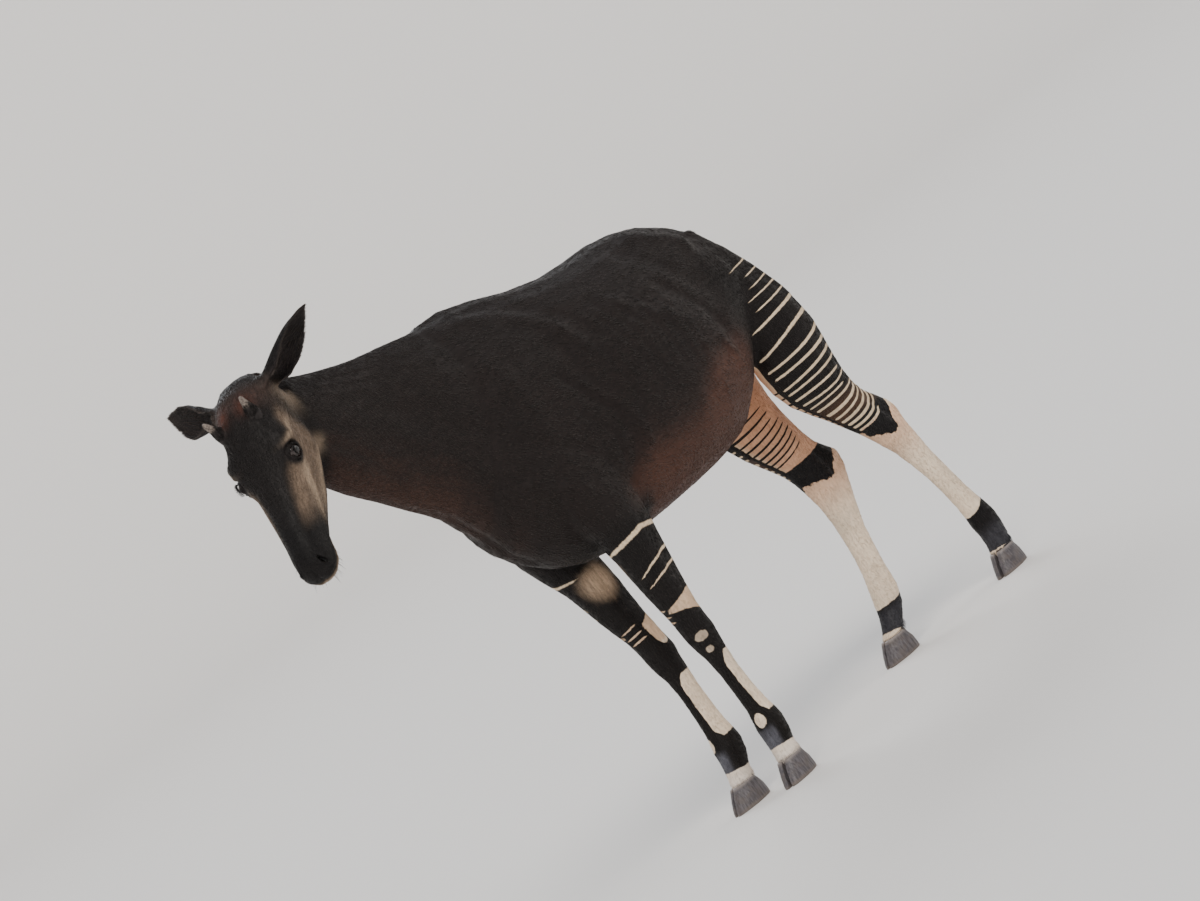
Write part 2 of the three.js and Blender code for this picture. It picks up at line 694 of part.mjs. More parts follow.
// Legs: forearm or gaskin, then the cannon with the pastern, then two claws
const SIDES = { left: -1, right: 1 };
Object.entries(SIDES).forEach(([side, way]) => {
  const foreTop = LEGS[`fore_${side}`].spine.find(([z]) => z === 780);
  partOff(`forearm_${side}`, DARK, [
    V(foreTop[1] + 8, way * 121, (FORE_CUT + KNEE_CUT) / 2), V(1, 0, 0), V(0, 1, 0), UP,
    [270, 148, FORE_CUT - KNEE_CUT],
  ]);
  partOff(`fore_cannon_${side}`, CREAM, [
    V(foreTop[1] + 20, way * 110, (KNEE_CUT - GAP) / 2), V(1, 0, 0), V(0, 1, 0), UP,
    [320, 200, KNEE_CUT - GAP],
  ]);
  partOff(`gaskin_${side}`, DARK, [
    V(930, way * 129, (HIND_CUT + HOCK_CUT) / 2), V(1, 0, 0), V(0, 1, 0), UP,
    [400, 256, HIND_CUT - HOCK_CUT],
  ]);
  partOff(`hind_cannon_${side}`, CREAM, [
    V(930, way * 129, (HOCK_CUT - GAP) / 2), V(1, 0, 0), V(0, 1, 0), UP,
    [500, 256, HOCK_CUT - GAP],
  ]);
});
addNode("torso", body, DARK);
Object.keys(LEGS).forEach((name) => {
  const nearSide = name.endsWith("left") ? 1 : -1;
  addNode(`hoof_${name}_outer`, claw(name, nearSide), GREY, 0.6);
  addNode(`hoof_${name}_inner`, claw(name, -nearSide), GREY, 0.6);
});

// The origin is under the middle of the model, on the ground.
const bounds = new THREE.Box3().setFromObject(model);
model.position.set(-(bounds.min.x + bounds.max.x) / 2, -(bounds.min.y + bounds.max.y) / 2, -bounds.min.z);

export default model;
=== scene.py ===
import math

import bmesh
import bpy
import numpy as np
from mathutils import Matrix, Vector


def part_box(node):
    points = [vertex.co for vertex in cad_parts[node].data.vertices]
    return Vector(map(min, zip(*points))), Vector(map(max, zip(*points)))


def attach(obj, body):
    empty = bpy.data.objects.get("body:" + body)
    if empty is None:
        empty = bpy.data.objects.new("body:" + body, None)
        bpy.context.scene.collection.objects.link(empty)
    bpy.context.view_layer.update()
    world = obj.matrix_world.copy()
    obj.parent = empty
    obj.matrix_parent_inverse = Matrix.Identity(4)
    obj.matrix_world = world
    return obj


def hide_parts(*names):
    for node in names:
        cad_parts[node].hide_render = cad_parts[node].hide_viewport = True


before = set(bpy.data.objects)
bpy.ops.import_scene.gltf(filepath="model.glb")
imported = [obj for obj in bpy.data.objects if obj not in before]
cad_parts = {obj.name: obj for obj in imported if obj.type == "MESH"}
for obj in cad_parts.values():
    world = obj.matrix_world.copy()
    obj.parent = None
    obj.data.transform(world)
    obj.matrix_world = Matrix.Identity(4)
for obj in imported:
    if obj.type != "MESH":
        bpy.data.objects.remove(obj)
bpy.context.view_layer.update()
scene = bpy.context.scene
rng = np.random.default_rng(12)

# Head frame, as in the part's source: along the face, out of the forehead, and to the animal's left
headPose = {"yaw": 26, "pitch": 58, "origin": (-0.650, -0.050, 1.640), "eye": (0.236, 0.004, 0.073)}
headYaw = math.radians(headPose["yaw"])
headPitch = math.radians(headPose["pitch"])
headForward = np.array((-math.cos(headYaw), -math.sin(headYaw), 0))
upward = np.array((0, 0, 1.0))
headAlong = headForward * math.cos(headPitch) - upward * math.sin(headPitch)
headOut = headForward * math.sin(headPitch) + upward * math.cos(headPitch)
headLeft = np.cross(upward, headForward)
headAxes = np.array((headAlong, headOut, headLeft))


# A point in the working frame, whose x and y are 0 between the forefeet
def headPoint(along, out, left):
    return np.array(headPose["origin"]) + np.array((along, out, left)) @ headAxes


def headDirection(along, out, left):
    return unit(np.array((along, out, left)) @ headAxes)


def unit(v):
    v = np.asarray(v, float)
    return v / np.maximum(np.linalg.norm(v, axis=-1, keepdims=True), 1e-12)


def middle(box):
    return (np.array(box[0]) + np.array(box[1])) / 2


def smooth(low, high, x):
    t = np.clip((x - low) / (high - low), 0, 1)
    return t * t * (3 - 2 * t)


def mix(a, b, share):
    share = np.asarray(share, float)
    if np.ndim(a) > 1 or np.ndim(b) > 1 or share.ndim:
        share = share[..., None]
    return np.asarray(a) * (1 - share) + np.asarray(b) * share


# The frame's origin is under the middle of the model, so the working frame is found from the left eye.
shift = middle(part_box("eye_left")) - headPoint(*headPose["eye"])
print("stage: frame read, working origin at", shift.round(4))

# Camera, at the photograph's angle and with its roll
cameraSet = {"place": (-7.161, -8.193, 1.600), "azimuth": -42, "pitch": 3.328, "roll": 37, "lens": 129}
turn = math.radians(cameraSet["azimuth"])
dip = math.radians(cameraSet["pitch"])
roll = math.radians(cameraSet["roll"])
level = np.array((-math.sin(turn), math.cos(turn), 0))
right = np.array((math.cos(turn), math.sin(turn), 0))
looking = level * math.cos(dip) - upward * math.sin(dip)
above = level * math.sin(dip) + upward * math.cos(dip)
cameraX = right * math.cos(roll) - above * math.sin(roll)
cameraY = right * math.sin(roll) + above * math.cos(roll)
cameraData = bpy.data.cameras.new("camera")
cameraData.sensor_width = 36
cameraData.sensor_fit = "HORIZONTAL"
cameraData.lens = cameraSet["lens"]
cameraData.clip_end = 200
camera = bpy.data.objects.new("camera", cameraData)
scene.collection.objects.link(camera)
turned = Matrix(np.array((cameraX, cameraY, -looking)).T.tolist()).to_4x4()
camera.matrix_world = Matrix.Translation(Vector(np.array(cameraSet["place"]) + shift)) @ turned
scene.camera = camera
print("stage: camera")


def linear(r, g, b):
    c = np.array((r, g, b)) / 255
    return np.where(c <= 0.04045, c / 12.92, ((c + 0.055) / 1.055) ** 2.4)


def newMaterial(name, **sockets):
    material = bpy.data.materials.new(name)
    material.use_nodes = True
    shader = material.node_tree.nodes["Principled BSDF"]
    for socket, value in sockets.items():
        shader.inputs[socket.replace("_", " ")].default_value = value
    return material, material.node_tree, shader


def link(tree, source, target):
    tree.links.new(source, target)


# Floor and light: a wide bowl of one colour, so that no horizon shows, under soft, even light
stageSet = {"floor": (0.83, 0.81, 0.79), "flat": 22, "bend": 14, "world": (0.90, 0.94, 1.0), "worldStrength": 0.62}
floorMesh = bpy.data.meshes.new("floor")
bm = bmesh.new()
turns = [k / 12 * math.pi / 2 for k in range(13)]
profile = [(0, 0), (8, 0), (16, 0)]
profile += [(stageSet["flat"] + stageSet["bend"] * math.sin(t), stageSet["bend"] * (1 - math.cos(t))) for t in turns]
line = [bm.verts.new((reach, 0, height)) for reach, height in profile]
for one, other in zip(line, line[1:]):
    bm.edges.new((one, other))
bmesh.ops.spin(bm, geom=bm.verts[:] + bm.edges[:], axis=(0, 0, 1), cent=(0, 0, 0), angle=2 * math.pi, steps=72)
bmesh.ops.remove_doubles(bm, verts=bm.verts, dist=0.001)
bmesh.ops.recalc_face_normals(bm, faces=bm.faces)
if sum(face.normal.z for face in bm.faces) < 0:
    bmesh.ops.reverse_faces(bm, faces=bm.faces)
bm.to_mesh(floorMesh)
bm.free()
floorMesh.shade_smooth()
floor = bpy.data.objects.new("floor", floorMesh)
scene.collection.objects.link(floor)
floorMaterial, none, floorShader = newMaterial("floorPaint", Roughness=0.9)
floorShader.inputs["Base Color"].default_value = (*stageSet["floor"], 1)
floorMesh.materials.append(floorMaterial)
world = bpy.data.worlds.new("studio")
world.use_nodes = True
world.node_tree.nodes["Background"].inputs["Color"].default_value = (*stageSet["world"], 1)
world.node_tree.nodes["Background"].inputs["Strength"].default_value = stageSet["worldStrength"]
scene.world = world
# name: where the light comes from, its strength, its spread in degrees and its colour
lamps = {
    "keyLamp": ((-3.4, -4.2, 5.6), 2.0, 32, (1, 0.95, 0.88)),
    "rimLamp": ((2.6, 4.6, 3.4), 1.15, 26, (0.92, 0.96, 1)),
    "sideLamp": ((5.2, -3.6, 2.6), 0.55, 40, (1, 0.93, 0.84)),
}
for name, (place, strength, spread, tint) in lamps.items():
    lamp = bpy.data.lights.new(name, "SUN")
    lamp.energy = strength
    lamp.angle = math.radians(spread)
    lamp.color = tint
    lampObject = bpy.data.objects.new(name, lamp)
    lampObject.matrix_world = (-Vector(place)).to_track_quat("-Z", "Y").to_matrix().to_4x4()
    scene.collection.objects.link(lampObject)
print("stage: floor and light")


# A smooth curve through rows with no overshoot, evaluated at many places at once
def curveThrough(rows):
    rows = np.array(rows, float)
    at, value = rows[:, 0], rows[:, 1:]
    step = np.diff(value, axis=0) / np.diff(at)[:, None]
    slope = np.zeros_like(value)
    product = step[:-1] * step[1:]
    total = step[:-1] + step[1:]
    slope[1:-1] = np.where(product > 0, 2 * product / np.where(total == 0, 1, total), 0)

    def curve(x):
        x = np.clip(np.asarray(x, float), at[0], at[-1])
        i = np.clip(np.searchsorted(at, x, side="right") - 1, 0, len(at) - 2)
        span = (at[i + 1] - at[i])[..., None]
        t = ((x - at[i])[..., None]) / span
        return ((1 + 2 * t) * (1 - t) ** 2 * value[i] + t * (1 - t) ** 2 * span * slope[i]
                + t * t * (3 - 2 * t) * value[i + 1] + t * t * (t - 1) * span * slope[i + 1])
    return curve


def pointsOf(mesh):
    co = np.empty(len(mesh.vertices) * 3, np.float32)
    mesh.vertices.foreach_get("co", co)
    return co.reshape(-1, 3).astype(float)


def setPoints(mesh, points):
    mesh.vertices.foreach_set("co", np.asarray(points, np.float32).ravel())
    mesh.update()


def normalsOf(mesh):
    normal = np.empty(len(mesh.vertices) * 3, np.float32)
    mesh.vertex_normals.foreach_get("vector", normal)
    return normal.reshape(-1, 3).astype(float)


def edgesOf(mesh):
    edge = np.empty(len(mesh.edges) * 2, np.int32)
    mesh.edges.foreach_get("vertices", edge)
    return edge.reshape(-1, 2)


# Evens out a mesh. Each second pass swells what the first one shrank, so thin legs keep their size.
def relax(points, edges, steps, weight=1.0, swell=0.53):
    count = len(points)
    a, b = edges.T
    neighbours = np.maximum(np.bincount(a, minlength=count) + np.bincount(b, minlength=count), 1)
    weight = np.broadcast_to(np.asarray(weight, float), (count,))[:, None]
    for step in range(steps):
        for share in ((0.5, -swell) if swell else (0.5,)):
            mean = np.stack([(np.bincount(a, points[b, k], count) + np.bincount(b, points[a, k], count))
                             for k in range(3)], axis=1) / neighbours[:, None]
            points = points + weight * share * (mean - points)
    return points


def newObject(name, mesh):
    made = bpy.data.objects.new(name, mesh)
    scene.collection.objects.link(made)
    return made


# Applies the object's modifiers to its mesh
def applied(made):
    graph = bpy.context.evaluated_depsgraph_get()
    mesh = bpy.data.meshes.new_from_object(made.evaluated_get(graph))
    old = made.data
    made.modifiers.clear()
    made.data = mesh
    bpy.data.meshes.remove(old)
    return made


def smoothShaded(mesh):
    mesh.shade_smooth()


# Middle line of each leg: height, then x and y, in millimetres of the working frame
legPaths = {
    "foreLeft": {"side": -1, "turn": 9, "path": [
        (64, 28, -85), (100, 34, -85), (158, 42, -85), (209, 43, -85), (261, 40, -86), (363, 37, -88),
        (440, 35, -90), (516, 28, -92), (617, 22, -98), (719, 16, -110), (780, 10, -118), (850, 0, -124),
        (950, -12, -128), (1060, -10, -130), (1270, 20, -112)]},
    "foreRight": {"side": 1, "turn": -18, "path": [
        (64, 10, 100), (102, 26, 100), (139, 39, 100), (191, 45, 100), (242, 47, 100), (345, 51, 100),
        (448, 52, 100), (501, 43, 101), (553, 30, 103), (605, 20, 105), (657, 16, 110), (719, 8, 117),
        (780, -8, 122), (850, -20, 125), (950, -28, 128), (1060, -20, 130), (1270, 20, 112)]},
    "hindLeft": {"side": -1, "turn": 6, "path": [
        (64, 1103, -72), (90, 1113, -72), (119, 1116, -72), (174, 1111, -73), (229, 1099, -75),
        (284, 1086, -77), (339, 1072, -79), (394, 1055, -81), (449, 1037, -84), (505, 1014, -86),
        (560, 984, -88), (616, 943, -94), (671, 902, -102), (726, 868, -112), (780, 850, -121),
        (833, 843, -128), (886, 841, -131), (940, 832, -132), (1000, 822, -128), (1090, 812, -118),
        (1180, 800, -110), (1270, 785, -104)]},
    "hindRight": {"side": 1, "turn": -15, "path": [
        (64, 753, 105), (84, 774, 105), (102, 790, 105), (140, 814, 105), (180, 826, 105), (233, 840, 104),
        (286, 852, 103), (339, 861, 102), (392, 872, 100), (446, 880, 98), (500, 883, 97), (554, 871, 96),
        (610, 843, 98), (666, 820, 104), (721, 803, 111), (780, 797, 120), (833, 801, 127), (886, 810, 130),
        (940, 815, 132), (1000, 812, 128), (1090, 806, 118), (1180, 798, 110), (1270, 785, 104)]},
}
legNames = list(legPaths)
legCurves = {name: curveThrough(leg["path"]) for name, leg in legPaths.items()}


# Which leg each place is nearest to: its number, the angle round it in degrees (0 front, 90 outer side,
# 180 rear, -90 inner side) and the distance from its middle line, in millimetres
def legPlace(mm):
    hind = mm[:, 0] > 480
    leftSide = mm[:, 1] < 0
    which = np.where(hind, 2, 0) + np.where(leftSide, 0, 1)
    angle = np.zeros(len(mm))
    radius = np.zeros(len(mm))
    for i, name in enumerate(legNames):
        own = which == i
        if not own.any():
            continue
        leg = legPaths[name]
        p = mm[own]
        centre = legCurves[name](p[:, 2])
        yaw = math.radians(leg["turn"]) * (1 - smooth(350, 750, p[:, 2]))
        dx, dy = p[:, 0] - centre[:, 0], p[:, 1] - centre[:, 1]
        front = -np.cos(yaw) * dx - np.sin(yaw) * dy
        outer = (np.sin(yaw) * dx - np.cos(yaw) * dy) * -leg["side"]
        angle[own] = np.degrees(np.arctan2(outer, front))
        radius[own] = np.hypot(front, outer)
    return which, angle, radius


def headPlace(w):
    return (w - np.array(headPose["origin"])) @ headAxes.T


# Skin: the nodes of flesh joined into one, evened out and drawn in by the coat's depth
skinSet = {"voxel": 0.0055, "coat": 0.0028, "torsoPasses": 190, "legPasses": 16, "triangles": 188000}
fleshNodes = ["head", "neck", "torso", "tail", "ear_left", "ear_right",
              "forearm_left", "forearm_right", "fore_cannon_left", "fore_cannon_right",
              "gaskin_left", "gaskin_right", "hind_cannon_left", "hind_cannon_right"]
bm = bmesh.new()
for node in fleshNodes:
    if node.startswith(("ear", "tail")):
        continue
    bm.from_mesh(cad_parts[node].data)
bmesh.ops.remove_doubles(bm, verts=bm.verts, dist=1e-5)
skinMesh = bpy.data.meshes.new("skin")
bm.to_mesh(skinMesh)
bm.free()
skin = newObject("skin", skinMesh)

# The dock of the tail: a tapering tube
dockPath = [(905, 1163, 22), (935, 1160, 24), (962, 1140, 24), (996, 1092, 20), (1011, 1010, 16), (1015, 925, 13.5),
            (1014, 850, 10.5), (1013, 815, 6)]
dockCurve = bpy.data.curves.new("dock", "CURVE")
dockCurve.dimensions = "3D"
dockCurve.bevel_depth = 0.001
dockCurve.bevel_resolution = 6
dockCurve.resolution_u = 8
dockCurve.use_fill_caps = True
spline = dockCurve.splines.new("NURBS")
spline.points.add(len(dockPath) - 1)
spline.use_endpoint_u = True
spline.order_u = 4
for point, (x, z, radius) in zip(spline.points, dockPath):
    place = np.array((x, 0, z)) / 1000 + shift
    point.co = (*place, 1)
    point.radius = radius
dock = newObject("dock", dockCurve)
graph = bpy.context.evaluated_depsgraph_get()
dockMesh = bpy.data.meshes.new_from_object(dock.evaluated_get(graph))
bm = bmesh.new()
bm.from_mesh(skinMesh)
bm.from_mesh(dockMesh)
bm.to_mesh(skinMesh)
bm.free()
bpy.data.objects.remove(dock)

remesh = skin.modifiers.new("remesh", "REMESH")
remesh.mode = "VOXEL"
remesh.voxel_size = skinSet["voxel"]
applied(skin)
print("stage: skin joined,", len(skin.data.polygons), "faces")

points = pointsOf(skin.data)
edges = edgesOf(skin.data)
w = points - shift
place = headPlace(w)
headward = smooth(-0.02, 0.06, -((w - np.array((-0.598, -0.045, 1.44))) @ -headForward))
legward = 1 - smooth(0.74, 0.86, w[:, 2])
bodyward = (1 - headward) * (1 - legward)
points = relax(points, edges, skinSet["torsoPasses"], 0.04 + 0.96 * bodyward)
points = relax(points, edges, skinSet["legPasses"], 1 - 0.5 * headward)
setPoints(skin.data, points)
normals = normalsOf(skin.data)
depth = skinSet["coat"] * (1 - 0.6 * headward) * (1 - 0.35 * legward)
setPoints(skin.data, points - normals * depth[:, None])
print("stage: skin evened out")
for node in fleshNodes:
    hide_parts(node)
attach(skin, "root")

# The ears: each a leaf rolled into a cup, open towards its tip
earSet = {
    "length": 0.205, "wall": 0.0034, "start": 0.014, "root": (0.034, 0.004, 0.074),
    # along the ear, half width, roll of the edge in degrees, bend backwards, in millimetres
    "leaf": [(-0.16, 20, 150, 0), (0, 25, 130, 0), (0.12, 30, 119, 0), (0.3, 39, 97, 1), (0.5, 43, 81, 3),
             (0.68, 36.5, 71, 6), (0.82, 24, 63, 9), (0.92, 13, 55, 12), (1, 3.5, 46, 15)],
    "left": {"cheek": 1, "along": (0.82, -0.43, 0.38), "open": (-0.1, -0.75, -0.6), "bow": 0.004},
    "right": {"cheek": -1, "along": (0.08, 0.93, 0.35), "open": (-0.7, -0.7, -0.1), "bow": 0.009},
}
leafCurve = curveThrough(earSet["leaf"])


def earFrame(side):
    ear = earSet[side]
    along = unit(ear["along"])
    across = unit(np.cross(along, ear["open"]))
    root = headPoint(*(np.array(earSet["root"]) * (1, 1, ear["cheek"])))
    return root, along, across, unit(np.cross(across, along))


# Point of the leaf at u along it and v from edge to edge, in the working frame
def leafPoint(side, u, v, inset=0.0):
    root, along, across, mouth = earFrame(side)
    width, rollDegrees, bend = (leafCurve(u) / (1000, 1, 1000)).T
    turned = np.radians(rollDegrees)
    radius = np.where(turned < math.pi / 2, width / np.sin(turned), width)
    # the edge turns out a little, and lies in soft waves
    ripple = 0.0012 * np.sin(u * 26 + v * 3) * np.abs(v) ** 3
    r = radius - inset + ripple
    bow = earSet[side]["bow"] * np.sin(math.pi * np.clip(u, 0, 1))
    reach = earSet["start"] + u * earSet["length"]
    return (root + reach[:, None] * along - bend[:, None] * mouth - bow[:, None] * upward
            + (r * np.sin(v * turned))[:, None] * across
            + (radius * 0.45 - r * np.cos(v * turned))[:, None] * mouth)


def makeEar(side):
    bm = bmesh.new()
    bmesh.ops.create_grid(bm, x_segments=54, y_segments=34, size=1)
    grid = np.array([vert.co for vert in bm.verts])
    low = earSet["leaf"][0][0]
    u = low + (grid[:, 0] + 1) / 2 * (1 - low)
    placed = leafPoint(side, u, grid[:, 1]) + shift
    for vert, co in zip(bm.verts, placed):
        vert.co = co
    bmesh.ops.recalc_face_normals(bm, faces=bm.faces)
    bmesh.ops.solidify(bm, geom=bm.faces[:], thickness=earSet["wall"])
    bmesh.ops.recalc_face_normals(bm, faces=bm.faces)
    mesh = bpy.data.meshes.new("ear")
    bm.to_mesh(mesh)
    bm.free()
    return newObject("ear", mesh)


for side in ("left", "right"):
    ear = makeEar(side)
    union = skin.modifiers.new("union", "BOOLEAN")
    union.operation = "UNION"
    union.solver = "MANIFOLD"
    union.object = ear
    applied(skin)
    bpy.data.objects.remove(ear)
print("stage: ears joined to the skin,", len(skin.data.polygons), "faces")


def headToFrame(along, out, left):
    return headPoint(along, out, left) + shift


# Makes the mesh finer round the given places
def refine(mesh, places):
    co = pointsOf(mesh)
    near = np.zeros(len(co), bool)
    for centre, radius in places:
        near |= np.linalg.norm(co - centre, axis=1) < radius
    bm = bmesh.new()
    bm.from_mesh(mesh)
    chosen = [edge for edge in bm.edges if near[edge.verts[0].index] and near[edge.verts[1].index]]
    bmesh.ops.subdivide_edges(bm, edges=chosen, cuts=1, use_grid_fill=True)
    bm.to_mesh(mesh)
    bm.free()


eyeSet = {
    "place": headPose["eye"], "radius": 0.022, "facing": (0.1, 0.22, 0.95), "lengthwise": (1, -0.25, 0),
    "long": 0.0172, "upper": 0.0122, "lower": 0.0104, "lid": 0.0243, "socket": 0.0185,
}
mouthSet = {"corner": (0.432, -0.062), "slope": 0.16, "depth": 0.0042, "width": 0.0026}
nostrilSet = {"place": (0.514, -0.008, 0.034), "along": (0.75, -0.35, 0.55), "long": 0.0165,
              "wide": 0.0052, "depth": 0.011}


def mirrored(v, cheek):
    return np.array(v) * (1, 1, cheek)


def eyeCentre(cheek):
    return headToFrame(*mirrored(eyeSet["place"], cheek))


eyeCentres = [eyeCentre(cheek) for cheek in (1, -1)]
nostrilCentres = [headToFrame(*mirrored(nostrilSet["place"], cheek)) for cheek in (1, -1)]
earRoots = [earFrame(side)[0] + shift for side in ("left", "right")]
refine(skin.data, [(c, 0.062) for c in eyeCentres] + [(headToFrame(0.50, -0.04, 0), 0.085)])
refine(skin.data, [(c + headDirection(*mirrored(eyeSet["facing"], k)) * 0.02, 0.034)
                   for c, k in zip(eyeCentres, (1, -1))] + [(c, 0.026) for c in nostrilCentres])
bm = bmesh.new()
bm.from_mesh(skin.data)
bmesh.ops.triangulate(bm, faces=bm.faces[:])
bm.to_mesh(skin.data)
bm.free()
points = pointsOf(skin.data)
edges = edgesOf(skin.data)
nearEar = np.zeros(len(points))
for side, root in zip(("left", "right"), earRoots):
    along = earFrame(side)[1]
    rel = points - root
    reach = rel @ along
    off = np.linalg.norm(rel - reach[:, None] * along, axis=1)
    nearEar = np.maximum(nearEar, (1 - smooth(0.012, 0.040, np.abs(reach - 0.006))) * (1 - smooth(0.035, 0.055, off)))
detail = np.zeros(len(points))
for centre, reach in [(c, 0.06) for c in eyeCentres] + [(headToFrame(0.50, -0.04, 0), 0.085)]:
    detail = np.maximum(detail, 1 - smooth(reach * 0.8, reach * 1.1, np.linalg.norm(points - centre, axis=1)))
points = relax(points, edges, 14, nearEar, swell=0)
points = relax(points, edges, 8, detail)
setPoints(skin.data, points)


# Places near a centre, measured along, across and outwards
def localPlace(points, centre, along, out):
    out = unit(out)
    along = unit(np.array(along) - out * (np.array(along) @ out))
    across = np.cross(out, along)
    if across @ headOut < 0:
        across = -across
    rel = points - centre
    return rel @ along, rel @ across, rel @ out, (along, across, out)


# Swellings and hollows of the head: along, out, sideways, radius, height; the same on both cheeks
headForms = [
    (0.275, -0.045, 0.066, 0.030, 0.0030), (0.320, -0.050, 0.055, 0.028, 0.0022),
    (0.365, -0.052, 0.047, 0.026, 0.0014), (0.300, -0.010, 0.052, 0.026, -0.0030),
    (0.180, -0.105, 0.072, 0.050, 0.0040), (0.262, -0.120, 0.050, 0.032, -0.0026),
    (0.165, 0.040, 0.070, 0.028, -0.0040), (0.218, 0.030, 0.074, 0.022, 0.0030),
    (0.120, -0.060, 0.088, 0.030, -0.0030), (0.090, -0.020, 0.088, 0.030, 0.0030),
    (0.500, -0.050, 0.044, 0.024, 0.0034), (0.445, -0.075, 0.034, 0.022, -0.0016),
    (0.505, -0.088, 0.016, 0.022, 0.0030), (0.395, 0.022, 0.022, 0.030, 0.0016),
    (0.520, -0.022, 0.020, 0.016, 0.0022),
]
# Ridges and creases of the body in side view: points x, z, half width, height, side of the body (0 is both)
bodyForms = [
    ([(-73, 1478), (27, 1452), (128, 1388), (197, 1299), (214, 1220)], 26, 7.0, 0),
    ([(-20, 1480), (60, 1462), (150, 1405), (232, 1300), (250, 1210)], 34, -6.0, 0),
    ([(87, 1177), (155, 1024), (150, 930), (100, 860)], 16, -6.0, 0),
    ([(120, 1130), (185, 1010), (188, 920)], 12, 4.5, 0),
    ([(60, 1080), (110, 990), (100, 900)], 12, -3.5, 0),
    ([(362, 1271), (433, 1168), (540, 1061)], 22, 4.5, 0),
    ([(540, 1200), (590, 1100), (610, 1010), (622, 930)], 24, -8.0, 0),
    ([(500, 1010), (558, 1009), (594, 904)], 14, 5.0, 0),
    ([(560, 1330), (600, 1240), (640, 1150)], 30, -6.0, 0),
    ([(640, 1350), (690, 1300), (735, 1262)], 26, 9.0, 0),
    ([(745, 1300), (800, 1180), (850, 1080)], 26, -4.5, 0),
    ([(890, 1170), (905, 1080), (905, 980)], 22, 5.0, 0),
    ([(-40, 1300), (-30, 1200), (-60, 1100)], 40, 4.0, 0),
    ([(-120, 1120), (-60, 1060), (10, 1000)], 22, -5.0, 0),
    ([(-165, 1010), (-110, 960), (-60, 925)], 18, 5.0, 0),
    ([(-330, 1350), (-230, 1260), (-150, 1160)], 30, -4.0, 0),
    ([(-480, 1420), (-380, 1330), (-290, 1200), (-230, 1090)], 26, 4.0, 0),
    ([(-560, 1400), (-500, 1330), (-430, 1240)], 16, -3.0, 0),
]
for i in range(9):
    x = 210 + i * 36
    bodyForms.append(([(x - 10, 1300 - i * 9), (x + 12, 1150), (x - 4, 1010)], 9, 1.3, 0))


def lineDistance(x, z, line):
    best = np.full(len(x), 1e9)
    for (x0, z0), (x1, z1) in zip(line[:-1], line[1:]):
        dx, dz = x1 - x0, z1 - z0
        t = np.clip(((x - x0) * dx + (z - z0) * dz) / (dx * dx + dz * dz), 0, 1)
        best = np.minimum(best, np.hypot(x - x0 - t * dx, z - z0 - t * dz))
    return best


# Forms of the legs: front or hind, height, angle round the leg, half height, half angle, swelling in mm
legForms = [
    ("fore", 470, 0, 34, 50, 3.0), ("fore", 425, 0, 22, 45, 2.0), ("fore", 448, 90, 40, 26, -2.0),
    ("fore", 448, -90, 40, 26, -2.0), ("fore", 455, 180, 26, 40, 3.5), ("fore", 300, 62, 110, 22, -1.8),
    ("fore", 300, -62, 110, 22, -1.8), ("fore", 290, 180, 100, 26, 1.8), ("fore", 160, 90, 22, 35, 2.2),
    ("fore", 160, -90, 22, 35, 2.2), ("fore", 118, 180, 16, 30, 2.4), ("fore", 118, 150, 12, 18, 1.6),
    ("fore", 640, 60, 90, 24, 4.0), ("fore", 640, 115, 90, 16, -3.0), ("fore", 600, 170, 80, 24, 2.0),
    ("fore", 620, -60, 90, 26, 2.0), ("fore", 700, 20, 60, 18, -2.5),
    ("hind", 545, 178, 30, 30, 4.5), ("hind", 560, 125, 60, 16, -6.0), ("hind", 560, -125, 60, 16, -6.0),
    ("hind", 500, 0, 30, 40, 2.0), ("hind", 500, 85, 30, 30, 2.5), ("hind", 500, -85, 30, 30, 2.5),
    ("hind", 340, 62, 120, 22, -2.0), ("hind", 340, -62, 120, 22, -2.0), ("hind", 330, 180, 110, 26, 2.0),
    ("hind", 160, 90, 22, 35, 2.2), ("hind", 160, -90, 22, 35, 2.2), ("hind", 120, 180, 16, 30, 2.4),
    ("hind", 650, 150, 70, 14, -3.5), ("hind", 680, 90, 80, 26, 3.0), ("hind", 760, 40, 70, 22, -3.0),
]
points = pointsOf(skin.data)
normals = normalsOf(skin.data)
w = points - shift
mm = w * 1000
head = headPlace(w)
swell = np.zeros(len(points))
isHead = smooth(-0.01, 0.05, head @ np.array((0.5, 0.2, 0)) + 0.04) * (w[:, 0] < -0.5)
for along, out, left, radius, height in headForms:
    for cheek in (1, -1):
        d = np.linalg.norm(head - (along, out, cheek * left), axis=1) / radius
        swell += isHead * height * np.exp(-d * d)
sideways = smooth(0.15, 0.5, np.abs(normals[:, 1]))
onBody = (w[:, 2] > 0.80) | (w[:, 0] < -0.2)
for line, width, height, side in bodyForms:
    d = lineDistance(mm[:, 0], mm[:, 2], line) / width
    swell += onBody * sideways * height / 1000 * np.exp(-d * d)
which, angle, radius = legPlace(mm)
lowLeg = mm[:, 2] < 830
for kind, height, at, high, wide, size in legForms:
    own = lowLeg & ((which >= 2) if kind == "hind" else (which < 2))
    turnedBy = (angle - at + 180) % 360 - 180
    swell += own * size / 1000 * np.exp(-((mm[:, 2] - height) / high) ** 2 - (turnedBy / wide) ** 2)
# midline groove of the chest
swell -= 0.006 * np.exp(-(mm[:, 1] / 16) ** 2) * smooth(-0.5, -0.8, normals[:, 0]) * (mm[:, 2] < 1150) * (mm[:, 2] > 850)
points = points + normals * swell[:, None]

